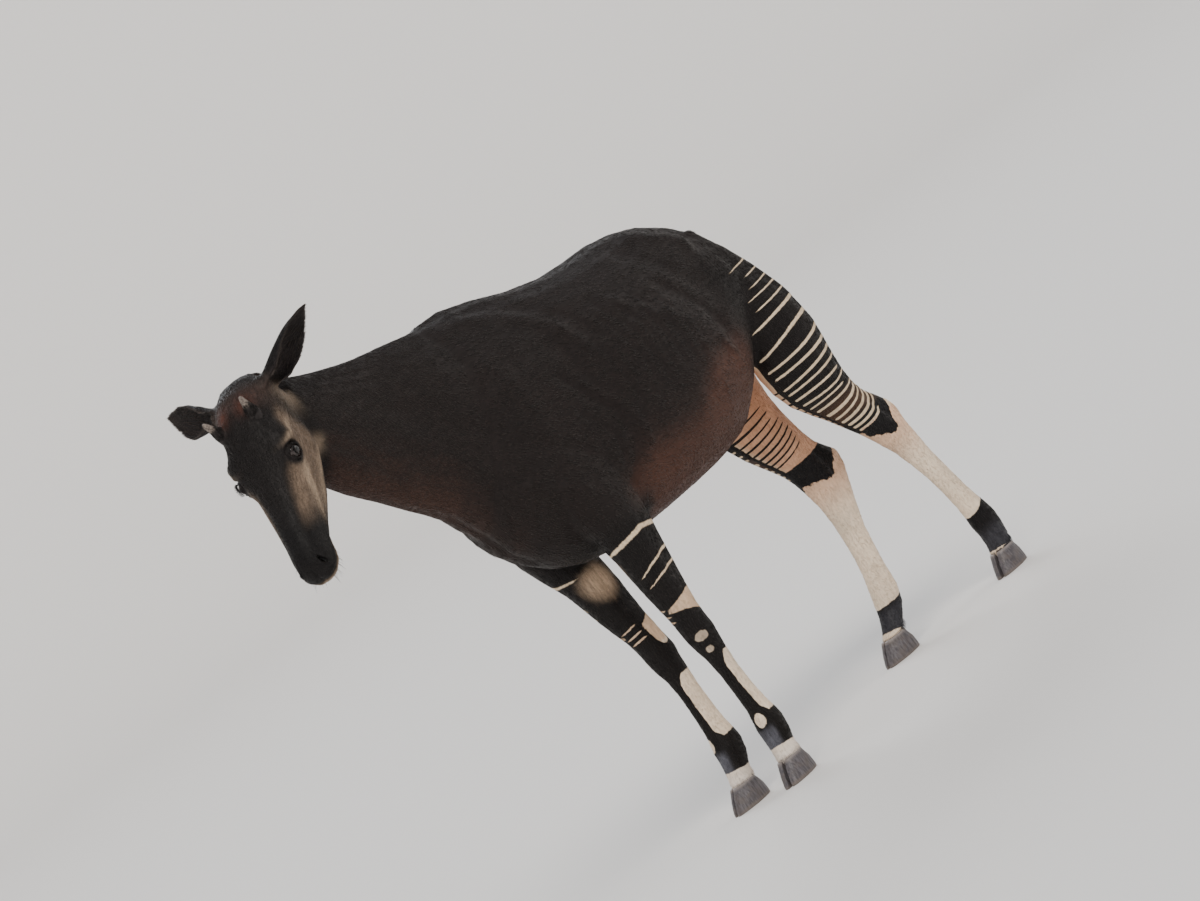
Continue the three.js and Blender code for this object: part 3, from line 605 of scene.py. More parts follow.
# Mouth: a groove with a lip over and under it
mouthAlong = headDirection(1, mouthSet["slope"], 0)
mouthUp = np.cross(mouthAlong, headLeft)
if mouthUp @ headOut < 0:
    mouthUp = -mouthUp
rel = points - headToFrame(*mouthSet["corner"], 0)
ahead = rel @ mouthAlong
over = rel @ mouthUp
inMouth = smooth(-0.004, 0.012, ahead) * (np.abs(rel @ headLeft) < 0.07) * (ahead < 0.16)
groove = mouthSet["depth"] * np.exp(-(over / mouthSet["width"]) ** 2)
lips = 0.0022 * np.exp(-((np.abs(over) - 0.0075) / 0.0045) ** 2)
points = points + normals * (inMouth * (lips - groove))[:, None]
# philtrum
rel = headPlace(points - shift)
philtrum = 0.0024 * np.exp(-(rel[:, 2] / 0.0028) ** 2) * smooth(0.518, 0.535, rel[:, 0]) * (rel[:, 1] > -0.052)
points = points - normals * philtrum[:, None]

# Nostrils: slanting commas with a raised rim
nostrilDepth = np.zeros(len(points))
for cheek, centre in zip((1, -1), nostrilCentres):
    along = headDirection(*mirrored(nostrilSet["along"], cheek))
    u, v, d, axes = localPlace(points, centre, along, headDirection(*mirrored((0.45, 0.75, 0.5), cheek)))
    bent = v + 0.2 * (u / nostrilSet["long"]) ** 2 * nostrilSet["wide"] * 2
    q = np.hypot(u / nostrilSet["long"], bent / (nostrilSet["wide"] * (1 + 0.35 * u / nostrilSet["long"])))
    close = np.abs(d) < 0.03
    nostrilDepth = np.maximum(nostrilDepth, close * (1 - smooth(0.55, 1.05, q)))
    points = points - normals * (close * nostrilSet["depth"] * (1 - smooth(0.45, 1.1, q)))[:, None]
    points = points + normals * (close * 0.0022 * np.exp(-((q - 1.5) / 0.42) ** 2))[:, None]

# Lids: the skin is drawn over the eyeball, with an almond opening
eyeOpening = np.zeros(len(points))
for cheek, centre in zip((1, -1), eyeCentres):
    u, v, d, axes = localPlace(points, centre, headDirection(*eyeSet["lengthwise"]),
                               headDirection(*mirrored(eyeSet["facing"], cheek)))
    half = np.where(v > 0, eyeSet["upper"], eyeSet["lower"])
    q = np.abs(v) / half + (u / eyeSet["long"]) ** 2
    near = (np.hypot(u, v) < 0.045) & (d > 0)
    onRim = near & (np.abs(q - 1) < 0.16)
    first = np.abs(v) / half
    second = (u / eyeSet["long"]) ** 2
    toRim = np.where(second > 1e-4, (-first + np.sqrt(first ** 2 + 4 * second)) / (2 * np.maximum(second, 1e-9)),
                     1 / np.maximum(first, 1e-6))
    scale = np.where(onRim, toRim, 1)
    u, v = u * scale, v * scale
    q = np.where(onRim, 1.0, q)
    flat = np.minimum(u * u + v * v, (eyeSet["lid"] * 0.985) ** 2)
    lidDepth = np.sqrt(eyeSet["lid"] ** 2 - flat)
    lidDepth = lidDepth + 0.0011 * np.exp(-((q - 1.32) / 0.26) ** 2)
    lidDepth = lidDepth - 0.0012 * np.exp(-((q - 2.1) / 0.22) ** 2) * (v > 0)
    inner = np.sqrt(np.maximum(eyeSet["socket"] ** 2 - flat, 1e-8))
    blended = d + (lidDepth - d) * (1 - smooth(1.6, 3.4, q))
    made = np.where(q < 0.999, inner, blended)
    placed = centre + u[:, None] * axes[0] + v[:, None] * axes[1] + made[:, None] * axes[2]
    points = np.where(near[:, None], placed, points)
    eyeOpening = np.maximum(eyeOpening, near * (1 - smooth(0.9, 1.25, q)))
setPoints(skin.data, points)
print("stage: head and body shaped,", len(skin.data.polygons), "triangles")

# Markings, with two kinds of painted light: a painted highlight on the top of the back, and painted bounce light on the
# lower flank and belly. Colours are sRGB, 0 to 255.
tones = {
    "coat": (25, 18, 16), "back": (28, 22, 21), "neck": (27, 20, 18), "throat": (56, 36, 28), "belly": (72, 45, 35),
    "flank": (38, 26, 22), "haunch": (19, 14, 13), "leg": (17, 13, 12), "joint": (15, 12, 13),
    "forehead": (20, 16, 15), "cheek": (158, 138, 117), "cheekShade": (106, 89, 74), "muzzle": (14, 11, 11),
    "poll": (66, 50, 44), "pollRed": (92, 50, 36), "ear": (24, 20, 20), "earInside": (34, 27, 26),
    "earRim": (60, 52, 48),
    "cream": (228, 208, 184), "peach": (214, 160, 122), "stripe": (226, 203, 172), "garter": (214, 184, 154),
    "white": (222, 210, 198), "pastern": (92, 92, 100), "thigh": (206, 160, 128), "lid": (22, 17, 16),
    "gaskin": (92, 64, 46),
}
tones = {name: linear(*value) for name, value in tones.items()}

# Stripes of the haunch, outer side: height at the rear, middle and front, from and to across the leg
# (-1 front edge, 1 rear edge), thickness at the rear and front, in millimetres
haunchRows = [
    (1122, 1114, 1110, -0.45, 1.5, 5, 3), (1086, 1079, 1076, -0.15, 1.5, 5, 3), (1058, 1048, 1042, -0.3, 1.5, 5, 4),
    (1030, 1024, 1018, -0.55, 1.5, 6, 4), (1005, 993, 988, -0.6, 1.5, 6, 4), (971, 961, 944, -0.95, 1.5, 19, 6),
    (918, 908, 874, -1.75, 1.5, 24, 7), (877, 850, 838, -1.75, 1.5, 17, 7), (837, 820, 813, -1.75, 1.5, 15, 7),
    (811, 789, 775, -1.75, 1.5, 11, 7), (783, 765, 758, -1.75, 1.5, 7, 7), (751, 737, 735, -1.75, 0.6, 6, 7),
    (738, 711, 712, -1.75, 1.5, 7, 7), (712, 696, 692, -1.75, 0.3, 6, 6), (700, 678, 674, -1.75, 0.9, 6, 7),
    (692, 655, 647, -1.75, 1.5, 9, 11), (676, 637, 625, -1.75, 1.5, 6, 7), (658, 618, 608, -1.75, 1.5, 8, 9),
    (642, 600, 592, -1.2, 1.5, 9, 9), (626, 584, 577, -1.2, 1.3, 8, 8), (612, 568, 562, -1.2, 0.5, 8, 8),
]
# The same for the inner side, dark lines on a pale ground
innerRows = [
    (812, 793, 780, -1.4, .0, 3, 6), (792, 771, 757, -1.4, .2, 3, 6), (772, 748, 733, -1.4, .3, 3, 9),
    (754, 728, 711, -1.4, .2, 3, 6), (738, 710, 692, -1.4, .45, 4, 7), (722, 692, 673, -1.4, .4, 4, 7),
    (706, 674, 655, -1.4, .5, 4, 8), (690, 657, 638, -1.4, .45, 4, 7), (673, 641, 622, -1.4, .4, 4, 7),
    (657, 625, 606, -1.4, .35, 4, 6),
]
# Forelegs: angles round the leg, heights there and widths there
foreRows = [
    ([-50, -25, 30, 90, 150, 175], [738, 742, 752, 762, 750, 742], [-3, 6, 12, 13, 12, 6]),
    ([5, 20, 60, 120, 170, 180], [648, 652, 668, 680, 682, 682], [-3, 4, 7, 8, 7, 3]),
    ([5, 20, 60, 120, 170, 180], [616, 621, 632, 641, 644, 644], [-3, 4, 6, 7, 6, 3]),
    ([-80, -64, -40, -15, 10], [556, 554, 551, 549, 547], [-3, 4, 5, 5, -3]),
    ([-80, -64, -40, -15, 10], [532, 532, 530, 528, 526], [-3, 5, 6, 5, -3]),
    ([-80, -64, -40, -15, 10], [512, 513, 512, 510, 508], [-3, 5, 6, 5, -3]),
]


# Numbers the stripes from the top: a place between two stripes gets a number between theirs.
# Gives that number, and the half width of the stripes there in the same measure.
def stripeField(z, centres, widths):
    centres, widths = np.array(centres), np.array(widths)
    rows = len(centres)
    gap = np.maximum(centres[:-1] - centres[1:], 1e-6)
    gap = np.vstack((gap[:1], gap, gap[-1:]))
    slope = 2 / (gap[:-1] + gap[1:])
    below = np.clip((centres > z).sum(0) - 1, 0, rows - 2)
    take = np.arange(len(z))
    top, bottom = centres[below, take], centres[below + 1, take]
    span = top - bottom
    t = (top - z) / span
    m0, m1 = slope[below, take] * span, slope[below + 1, take] * span
    inside = np.clip(t, 0, 1)
    phase = below + (t < 0) * t * m0 + (t > 1) * (1 + (t - 1) * m1) + ((t >= 0) & (t <= 1)) * (
        inside ** 2 * (3 - 2 * inside) + inside * (1 - inside) ** 2 * m0 - inside ** 2 * (1 - inside) * m1)
    half = widths / 2 * slope
    blend = np.clip(phase - below, 0, 1)
    width = half[below, take] * (1 - blend) + half[below + 1, take] * blend
    outside = (phase < -0.45) | (phase > rows - 0.55)
    return phase, np.where(outside, -0.2, width)


def rowsAcross(rows, x):
    centres, widths = [], []
    bent = np.clip(x, -1.2, 1.2)
    for rear, mid, front, start, end, rearWidth, frontWidth in rows:
        tilt, bow = (rear - front) / 2, (rear + front) / 2 - mid
        centres.append(mid + tilt * x + bow * (bent ** 2 + 2.4 * (np.abs(x) - np.abs(bent))))
        width = np.interp(x, [-1, 1], [frontWidth, min(rearWidth, 12)])
        shown = smooth(start - 0.12, start + 0.3, x) * (1 - smooth(end - 0.25, end + 0.1, x))
        widths.append(width * shown - 0.8 - 7 * (1 - shown))
    return centres, widths


hindMiddle = np.array([(1270, 785, 73), (1180, 800, 115), (1090, 812, 136), (1000, 822, 140), (940, 832, 127),
                       (886, 841, 122), (833, 843, 118), (780, 850, 112), (726, 868, 102), (671, 902, 87),
                       (640, 922, 81), (605, 950, 84), (560, 984, 82), (505, 1014, 63), (449, 1037, 50)])[::-1]
# The right hind leg stands further forward
hindShift = np.array([(1270, 0), (1000, -10), (886, -31), (833, -42), (780, -53), (726, -64), (666, -80),
                      (610, -104), (554, -117), (500, -133), (446, -158)])[::-1]


def oval(a, b, reachA, reachB):
    return (1 - np.hypot(a / reachA, b / reachB)) * min(reachA, reachB)


# Everything that colours the coat at the given places: the dark colour, the pale colour, how far inside
# a pale patch the place is (in metres), and the stripe number and width there
def coatAt(places, facing):
    w = places - shift
    mm = w * 1000
    x, y, z = mm.T
    head = headPlace(w)
    a, n, l = head.T * 1000
    count = len(w)
    which, angle, radius = legPlace(mm)
    dark = np.tile(tones["coat"], (count, 1))
    pale = np.tile(tones["stripe"], (count, 1))
    band = np.full(count, -0.05)
    phase = np.full(count, 0.5)
    half = np.full(count, -0.2)
    up = facing[:, 2]
    # painted highlight: faces turned upwards on the body are drawn lighter, towards the back tone, as reflected light
    # along the top of the back
    dark = mix(dark, tones["back"], smooth(0.2, 0.9, up) * smooth(-300, 0, x) * 0.8)
    dark = mix(dark, tones["neck"], 1 - smooth(-420, -120, x))
    low = smooth(-0.1, -0.75, up)
    dark = mix(dark, tones["throat"], low * (1 - smooth(-330, -180, x)) * 0.9)
    # painted bounce light: below the line of the belly, given by edge, the lower flank and the belly are drawn lighter
    # and warmer brown, as light thrown up from below
    edge = np.interp(x, [0, 36, 189, 363, 486, 600, 700], [820, 877, 921, 914, 1000, 1010, 1000])
    bounceLit = smooth(10, -85, z - edge) * smooth(0, 150, x) * (1 - smooth(600, 740, x))
    dark = mix(dark, tones["flank"], smooth(80, -60, z - edge) * smooth(0, 150, x) * (1 - smooth(600, 740, x)))
    dark = mix(dark, tones["belly"], bounceLit * 0.9)
    dark = mix(dark, tones["haunch"], smooth(640, 740, x) * smooth(1280, 1100, z))
    dark = mix(dark, tones["leg"], smooth(850, 770, z) * smooth(165, 120, radius))

    # inside of the thighs and the groin
    side = np.where(y < 0, -1, 1)
    isDock = (z > 785) & (np.abs(y) < 34) & (x > np.where(z > 1105, 936, 968))
    hind = (which >= 2) & (x > 480) & ~isDock & ((z > 860) | (radius < np.where(z > 730, 245, 150)))
    middleX = np.interp(z, hindMiddle[:, 0], hindMiddle[:, 1]) + (which == 3) * np.interp(
        z, hindShift[:, 0], hindShift[:, 1])
    reachX = np.interp(z, hindMiddle[:, 0], hindMiddle[:, 2])
    across = (x - middleX) / reachX
    outward = facing[:, 1] * side
    inner = hind & (angle < 0) & (z < 960)
    innerPale = hind & (z < 950) & (z > 470)
    innerEdge = np.minimum(-angle, 180 + angle) / 57.3 * np.maximum(radius, 30) / 1000
    innerBand = np.where(innerPale & (angle < 0), np.minimum(innerEdge - 0.012, (940 - z) / 1000), -0.05)
    hockTop = np.interp(across, [-1, -0.4, 0.2, 1], [596, 596, 598, 606]) - 12 * (which == 3)
    innerBand = np.minimum(innerBand, (z - hockTop) / 1000)
    band = np.where(hind, np.maximum(band, innerBand), band)
    pale = mix(pale, tones["thigh"], hind * smooth(0, -20, angle) * smooth(420, 560, z) * 1.0)
    centres, widths = rowsAcross(innerRows, across)
    innerPhase, innerHalf = stripeField(z, centres, widths)
    centres, widths = rowsAcross(haunchRows, across)
    outerPhase, outerHalf = stripeField(z, centres, widths)
    outerSide = hind & (angle >= 0)
    nearSplit = smooth(1, 5, np.minimum(np.abs(angle), 180 - np.abs(angle)))
    phase = np.where(outerSide, outerPhase, np.where(hind, innerPhase, phase))
    half = np.where(outerSide, np.where(z > 470, outerHalf * 1.0, -0.2), half)
    half = np.where(hind & (angle < 0) & (z < 830) & (z > 590), innerHalf, np.where(hind & (angle < 0), -0.2, half))
    half = np.where(hind & (z < 900), half * nearSplit - (1 - nearSplit) * 0.25, half)
    # the stripes of the inner side are dark: a sign tells the material
    inkSide = hind & (angle < 0)
    brown = outerSide * smooth(700, 640, z) * smooth(548, 570, z)
    dark = mix(dark, tones["gaskin"], brown * 0.55)

    # cream below the hock, with a dark band at the fetlock and pale hair over the hoof
    hockLow = np.interp(across, [-1, -0.7, -0.35, 0, 0.3, 0.6, 1], [545, 518, 500, 505, 528, 558, 588])
    hockLow = np.where(angle < 0, np.interp(across, [-1, -0.2, 0.2, 0.5, 1], [560, 538, 536, 562, 596]), hockLow)
    hockLow = hockLow + (which == 3) * -34
    fetlockTop = np.where(which == 2, 196 - 13 * np.cos(np.radians(angle)), np.interp(across, [-1, 1], [138, 172]))
    shank = np.minimum(hockLow - z, z - fetlockTop) / 1000
    foot = (np.where(which == 2, 66, 74) + 6 * np.cos(np.radians(angle)) - z) / 1000
    band = np.where(hind & (z < 600), np.maximum(np.where(z > hockLow, band, shank), foot), band)
    pale = np.where((hind & (z < 560))[:, None], mix(tones["cream"], tones["peach"], smooth(380, 520, z) * 0.55), pale)
    pale = np.where((hind & (z < 110))[:, None], tones["cream"], pale)
    dark = mix(dark, tones["joint"], hind * smooth(620, 590, z))
    dark = mix(dark, tones["pastern"], hind * smooth(150, 110, z) * 0.25)

    # forelegs
    fore = (which < 2) & (z < 830) & (radius < 135)
    turned = np.abs(angle)
    shinTurn = turned - 46 - 6 * smooth(300, 220, z) - 34 * smooth(348, 384, z) - 30 * smooth(216, 186, z)
    shin = np.minimum(np.minimum((z - 188) / 1000, (381 - z) / 1000), shinTurn / 57.3 * 0.034)
    knee1 = oval(angle - 38, z - 444, 27, 13) / 1000
    knee2 = oval(angle - 32, z - 404, 20, 9) / 1000
    garterLow = np.interp(angle, [-180, -100, 0, 60, 130, 180], [486, 505, 536, 524, 503, 486])
    garterTop = np.interp(angle, [-180, -100, 0, 60, 130, 180], [566, 545, 544, 556, 566, 566])
    garter = np.minimum(z - garterLow, garterTop - z) / 1000
    garter = np.where((angle < -4) & (angle > -90), -0.02, garter)
    innerBack = oval((angle + 128) + (z - 500) * 0.25, z - 506, 36, 38) / 1000
    axilla = smooth(0.25, 0.85, 1 - np.hypot((angle + 84) / 104, (z - 700) / 92)) * smooth(738, 712, z + 0.3 * angle)
    fetlockFront = oval(angle - 12, z - 180, 26, 19) / 1000
    coronet = (97 + 5 * np.cos(np.radians(angle)) - z) / 1000
    patches = np.maximum.reduce([shin, knee1, knee2, garter, innerBack, fetlockFront, coronet])
    band = np.where(fore, patches, band)
    pale = np.where(fore[:, None], mix(tones["cream"], tones["white"], smooth(150, 60, z)), pale)
    pale = mix(pale, tones["cheekShade"], fore * smooth(381, 395, z) * smooth(478, 460, z) * 0.55)
    dark = mix(dark, tones["garter"], fore * axilla * 0.85)
    pale = np.where((fore & (z > 480))[:, None], mix(tones["garter"], tones["stripe"], smooth(580, 660, z)), pale)
    dark = mix(dark, tones["pastern"], fore * smooth(165, 140, z) * smooth(60, 30, turned) * 0.8)
    centres = [np.interp(angle, at, heights) for at, heights, widths in foreRows]
    widths = [np.interp(angle, at, widths, left=-3, right=-3) for at, heights, widths in foreRows]
    forePhase, foreHalf = stripeField(z, centres, widths)
    phase = np.where(fore, forePhase, phase)
    half = np.where(fore & (z > 495), foreHalf, np.where(fore, -0.2, half))

    # head
    isHead = smooth(-7, 9, (mm - np.array((-598, -45, 1440))) @ headForward)
    face = mix(np.tile(tones["forehead"], (count, 1)), tones["muzzle"], smooth(330, 430, a))
    cheekMask = smooth(34, 56, np.abs(l) + 0.06 * (a - 240)) * smooth(92, 150, a + 0.35 * n)
    cheekMask = cheekMask * smooth(446, 352, a - 0.5 * n) * smooth(34, 2, n)
    cheekMask = cheekMask * smooth(-16, 2, n + 136 - 0.22 * (a - 200))
    face = mix(face, tones["cheekShade"], cheekMask)
    crest = np.exp(-((n + 20 + (a - 250) * 0.32) / 15) ** 2) * smooth(225, 262, a) * smooth(420, 350, a)
    jawEdge = np.exp(-((n + 128 - (a - 200) * 0.22) / 24) ** 2) * smooth(135, 195, a) * smooth(400, 300, a)
    face = mix(face, tones["cheek"], np.clip(crest * 0.85 + jawEdge * 0.75, 0, 1) * smooth(24, 44, np.abs(l)))
    templeA = np.exp(-((n + 4 - (a - 150) * 0.5) / 9) ** 2) * smooth(120, 150, a) * smooth(235, 205, a)
    face = mix(face, tones["cheek"], templeA * 0.6 * smooth(40, 56, np.abs(l)))
    poll = np.exp(-((a - 62) / 34) ** 2 - ((n - 45) / 50) ** 2)
    face = mix(face, tones["poll"], poll * 0.7)
    face = mix(face, tones["pollRed"], np.exp(-((a - 84) / 26) ** 2 - ((np.abs(l) - 34) / 22) ** 2) * (n > 10) * 0.55)
    behind = np.exp(-((a - 60) / 42) ** 2 - ((n + 52) / 42) ** 2) * smooth(50, 76, np.abs(l))
    face = mix(face, tones["cheek"], behind * 0.55)
    chin = smooth(-58, -74, n + (a - 432) * -0.16) * smooth(440, 480, a)
    face = mix(face, tones["cheek"], chin * 0.75)
    dark = mix(dark, face, isHead)
    # the rim of the eye is bare dark skin; the nostrils are made bare further on
    for centre in eyeCentres:
        near = np.linalg.norm(places - centre, axis=1)
        dark = mix(dark, tones["lid"], 1 - smooth(0.028, 0.040, near))
    # ears
    for side in ("left", "right"):
        root, along, acrossEar, mouth = earFrame(side)
        rel = w - root
        reach = rel @ along
        off = np.linalg.norm(rel - reach[:, None] * along, axis=1)
        mine = smooth(0.012, 0.035, reach) * (off < 0.07) * (reach < 0.26)
        u = (reach - earSet["start"]) / earSet["length"]
        rim = smooth(0.55, 1.0, u)
        dark = mix(dark, mix(np.tile(tones["ear"], (count, 1)), tones["earRim"], rim * 0.35), mine)
        inward = facing @ mouth
        dark = mix(dark, tones["earInside"], mine * smooth(0.1, 0.6, inward) * smooth(0.8, 0.3, u))
        band = np.where(mine > 0.2, -0.05, band)
        half = np.where(mine > 0.2, -0.2, half)
    onHead = isHead > 0.3
    band = np.where(onHead, -0.05, band)
    half = np.where(onHead, -0.2, half)
    return {"dark": dark, "pale": pale, "band": band, "phase": phase, "half": half, "ink": inkSide * 1.0}


# Which way the hair lies at the given places
def lieAt(places, facing):
    w = places - shift
    mm = w * 1000
    count = len(w)
    lie = np.tile((0.94, 0, -0.34), (count, 1))
    low = smooth(1150, 900, mm[:, 2])
    lie = mix(lie, np.array((0.6, 0, -0.8)), low * 0.5)
    lie = mix(lie, np.array((0.55, 0, -0.83)), smooth(0, -300, mm[:, 0]) * 0.8)
    lie = mix(lie, np.array((0.25, 0, -0.97)), smooth(640, 820, mm[:, 0]) * smooth(1350, 1150, mm[:, 2]))
    lie = mix(lie, np.array((0.06, 0, -1.0)), smooth(860, 760, mm[:, 2]))
    lie = mix(lie, np.array((0.05, 0, -1.0)), smooth(935, 985, mm[:, 0]))
    isHead = smooth(-12, 40, (mm - np.array((-598, -45, 1440))) @ headForward)
    lie = mix(lie, -headAlong * 0.9 - upward * 0.25, isHead)
    for side in ("left", "right"):
        root, along, across, mouth = earFrame(side)
        rel = w - root
        reach = rel @ along
        off = np.linalg.norm(rel - reach[:, None] * along, axis=1)
        lie = mix(lie, along, smooth(-0.01, 0.03, reach) * (off < 0.07))
    lie = lie - (lie * facing).sum(1, keepdims=True) * facing
    return unit(lie)


# Places squeezed along the lie of the hair, so that noise read there is drawn out into strands
def strandAt(places):
    w = places - shift
    mm = w * 1000
    legward = smooth(900, 760, mm[:, 2])[:, None]
    headward = smooth(-12, 60, (mm - np.array((-598, -45, 1440))) @ headForward)[:, None]
    squeeze = 0.14
    body = w * np.array((squeeze, 1, 0.8))
    legs = w * np.array((1, 1, squeeze))
    head = headPlace(w) * np.array((squeeze, 1, 1))
    return (body * (1 - legward) + legs * legward) * (1 - headward) + head * headward


def setColour(mesh, name, values):
    attribute = mesh.attributes.new(name, "FLOAT_COLOR", "POINT")
    rgba = np.ones((len(values), 4), np.float32)
    rgba[:, :3] = values
    attribute.data.foreach_set("color", rgba.ravel())


def setNumber(mesh, name, values):
    attribute = mesh.attributes.new(name, "FLOAT", "POINT")
    attribute.data.foreach_set("value", np.ascontiguousarray(values, np.float32))


def setVector(mesh, name, values):
    attribute = mesh.attributes.new(name, "FLOAT_VECTOR", "POINT")
    attribute.data.foreach_set("vector", np.ascontiguousarray(values, np.float32).ravel())


def paintCoat(mesh, coat, strand, bare):
    setColour(mesh, "dark", coat["dark"])
    setColour(mesh, "pale", coat["pale"])
    for name in ("band", "phase", "half", "ink"):
        setNumber(mesh, name, coat[name])
    setNumber(mesh, "bare", bare)
    setVector(mesh, "strand", strand)


# Shader groups
def newGroup(name, inputs, outputs):
    group = bpy.data.node_groups.new(name, "ShaderNodeTree")
    for label, kind, value in inputs:
        socket = group.interface.new_socket(name=label, in_out="INPUT", socket_type=kind)
        if value is not None:
            socket.default_value = value
    for label, kind in outputs:
        group.interface.new_socket(name=label, in_out="OUTPUT", socket_type=kind)
    return group, group.nodes.new("NodeGroupInput"), group.nodes.new("NodeGroupOutput")


def put(tree, kind, **settings):
    node = tree.nodes.new(kind)
    for key, value in settings.items():
        setattr(node, key, value)
    return node


# A math node with its sockets filled by numbers or by other sockets
def calc(tree, operation, *values, clamp=False):
    node = put(tree, "ShaderNodeMath", operation=operation, use_clamp=clamp)
    for i, value in enumerate(values):
        if isinstance(value, (int, float)):
            node.inputs[i].default_value = value
        else:
            tree.links.new(value, node.inputs[i])
    return node.outputs[0]


def ramp(tree, value, low, high, toLow=0.0, toHigh=1.0):
    node = put(tree, "ShaderNodeMapRange", interpolation_type="SMOOTHSTEP")
    for i, number in enumerate((low, high, toLow, toHigh), 1):
        node.inputs[i].default_value = number
    tree.links.new(value, node.inputs[0])
    return node.outputs[0]


def noise(tree, vector, scale, detail=2, roughness=0.5):
    node = put(tree, "ShaderNodeTexNoise")
    tree.links.new(vector, node.inputs["Vector"])
    node.inputs["Scale"].default_value = scale
    node.inputs["Detail"].default_value = detail
    node.inputs["Roughness"].default_value = roughness
    return node.outputs["Fac"]


def blend(tree, share, first, second, kind="MIX"):
    node = put(tree, "ShaderNodeMix", data_type="RGBA", blend_type=kind)
    for socket, value in (("Factor", share), ("A", first), ("B", second)):
        target = next(s for s in node.inputs
                      if s.name == socket and (s.type == "RGBA" or socket == "Factor") and s.enabled)
        if isinstance(value, (int, float)):
            target.default_value = value
        elif isinstance(value, tuple):
            target.default_value = value
        else:
            tree.links.new(value, target)
    return next(s for s in node.outputs if s.type == "RGBA" and s.enabled)


# Pale patches and stripes with hairy edges
markingGroup, start, end = newGroup("coatMarking", [
    ("Place", "NodeSocketVector", None), ("Strand", "NodeSocketVector", None), ("Band", "NodeSocketFloat", 0.0),
    ("Phase", "NodeSocketFloat", 0.5), ("Half", "NodeSocketFloat", 0.0), ("Ink", "NodeSocketFloat", 0.0),
    ("Ragged", "NodeSocketFloat", 1.0)], [("Pale", "NodeSocketFloat")])
g = markingGroup
coarse = noise(g, start.outputs["Place"], 55, 3)
fine = noise(g, start.outputs["Strand"], 420, 2)
wobble = calc(g, "ADD", calc(g, "SUBTRACT", coarse, 0.5), calc(g, "MULTIPLY", calc(g, "SUBTRACT", fine, 0.5), 0.9))
wobble = calc(g, "MULTIPLY", wobble, start.outputs["Ragged"])
bandEdge = calc(g, "ADD", start.outputs["Band"], calc(g, "MULTIPLY", wobble, 0.0062))
patch = ramp(g, bandEdge, -0.0011, 0.0011)
away = calc(g, "ABSOLUTE", calc(g, "SUBTRACT", start.outputs["Phase"], calc(g, "ROUND", start.outputs["Phase"])))
inside = calc(g, "SUBTRACT", calc(g, "ADD", start.outputs["Half"], calc(g, "MULTIPLY", wobble, 0.055)), away)
stripe = ramp(g, inside, -0.022, 0.022)
lightStripe = calc(g, "MULTIPLY", stripe, calc(g, "SUBTRACT", 1.0, start.outputs["Ink"]))
darkStripe = calc(g, "MULTIPLY", stripe, start.outputs["Ink"])
shown = calc(g, "MULTIPLY", calc(g, "MAXIMUM", patch, lightStripe), calc(g, "SUBTRACT", 1.0, darkStripe))
link(g, shown, end.inputs["Pale"])

# Fine strands of short hair: a height for the bump and a light and dark play
strandGroup, start, end = newGroup("hairStrand", [
    ("Strand", "NodeSocketVector", None), ("Scale", "NodeSocketFloat", 1.0)],
    [("Height", "NodeSocketFloat"), ("Shade", "NodeSocketFloat")])
g = strandGroup
scaled = put(g, "ShaderNodeVectorMath", operation="SCALE")
link(g, start.outputs["Strand"], scaled.inputs[0])
link(g, start.outputs["Scale"], scaled.inputs["Scale"])
hair = noise(g, scaled.outputs[0], 900, 3, 0.6)
lock = noise(g, scaled.outputs[0], 170, 2, 0.5)
link(g, calc(g, "ADD", calc(g, "MULTIPLY", hair, 0.6), calc(g, "MULTIPLY", lock, 0.5)), end.inputs["Height"])
link(g, ramp(g, calc(g, "ADD", calc(g, "MULTIPLY", hair, 0.5), calc(g, "MULTIPLY", lock, 0.5)), 0.3, 0.7),
     end.inputs["Shade"])


def attributeNode(tree, name, output):
    node = put(tree, "ShaderNodeAttribute", attribute_name=name, attribute_type="GEOMETRY")
    return node.outputs[output]


coatSet = {
    "coatFur": {"Roughness": 0.55, "Sheen Weight": 0.05, "Sheen Roughness": 0.5, "Specular IOR Level": 0.17,
                "bump": 0.3, "distance": 0.0012},
    "coatTuft": {"Roughness": 0.52, "Sheen Weight": 0.05, "Sheen Roughness": 0.5, "Specular IOR Level": 0.17,
                 "bump": 0.12, "distance": 0.0006},
}


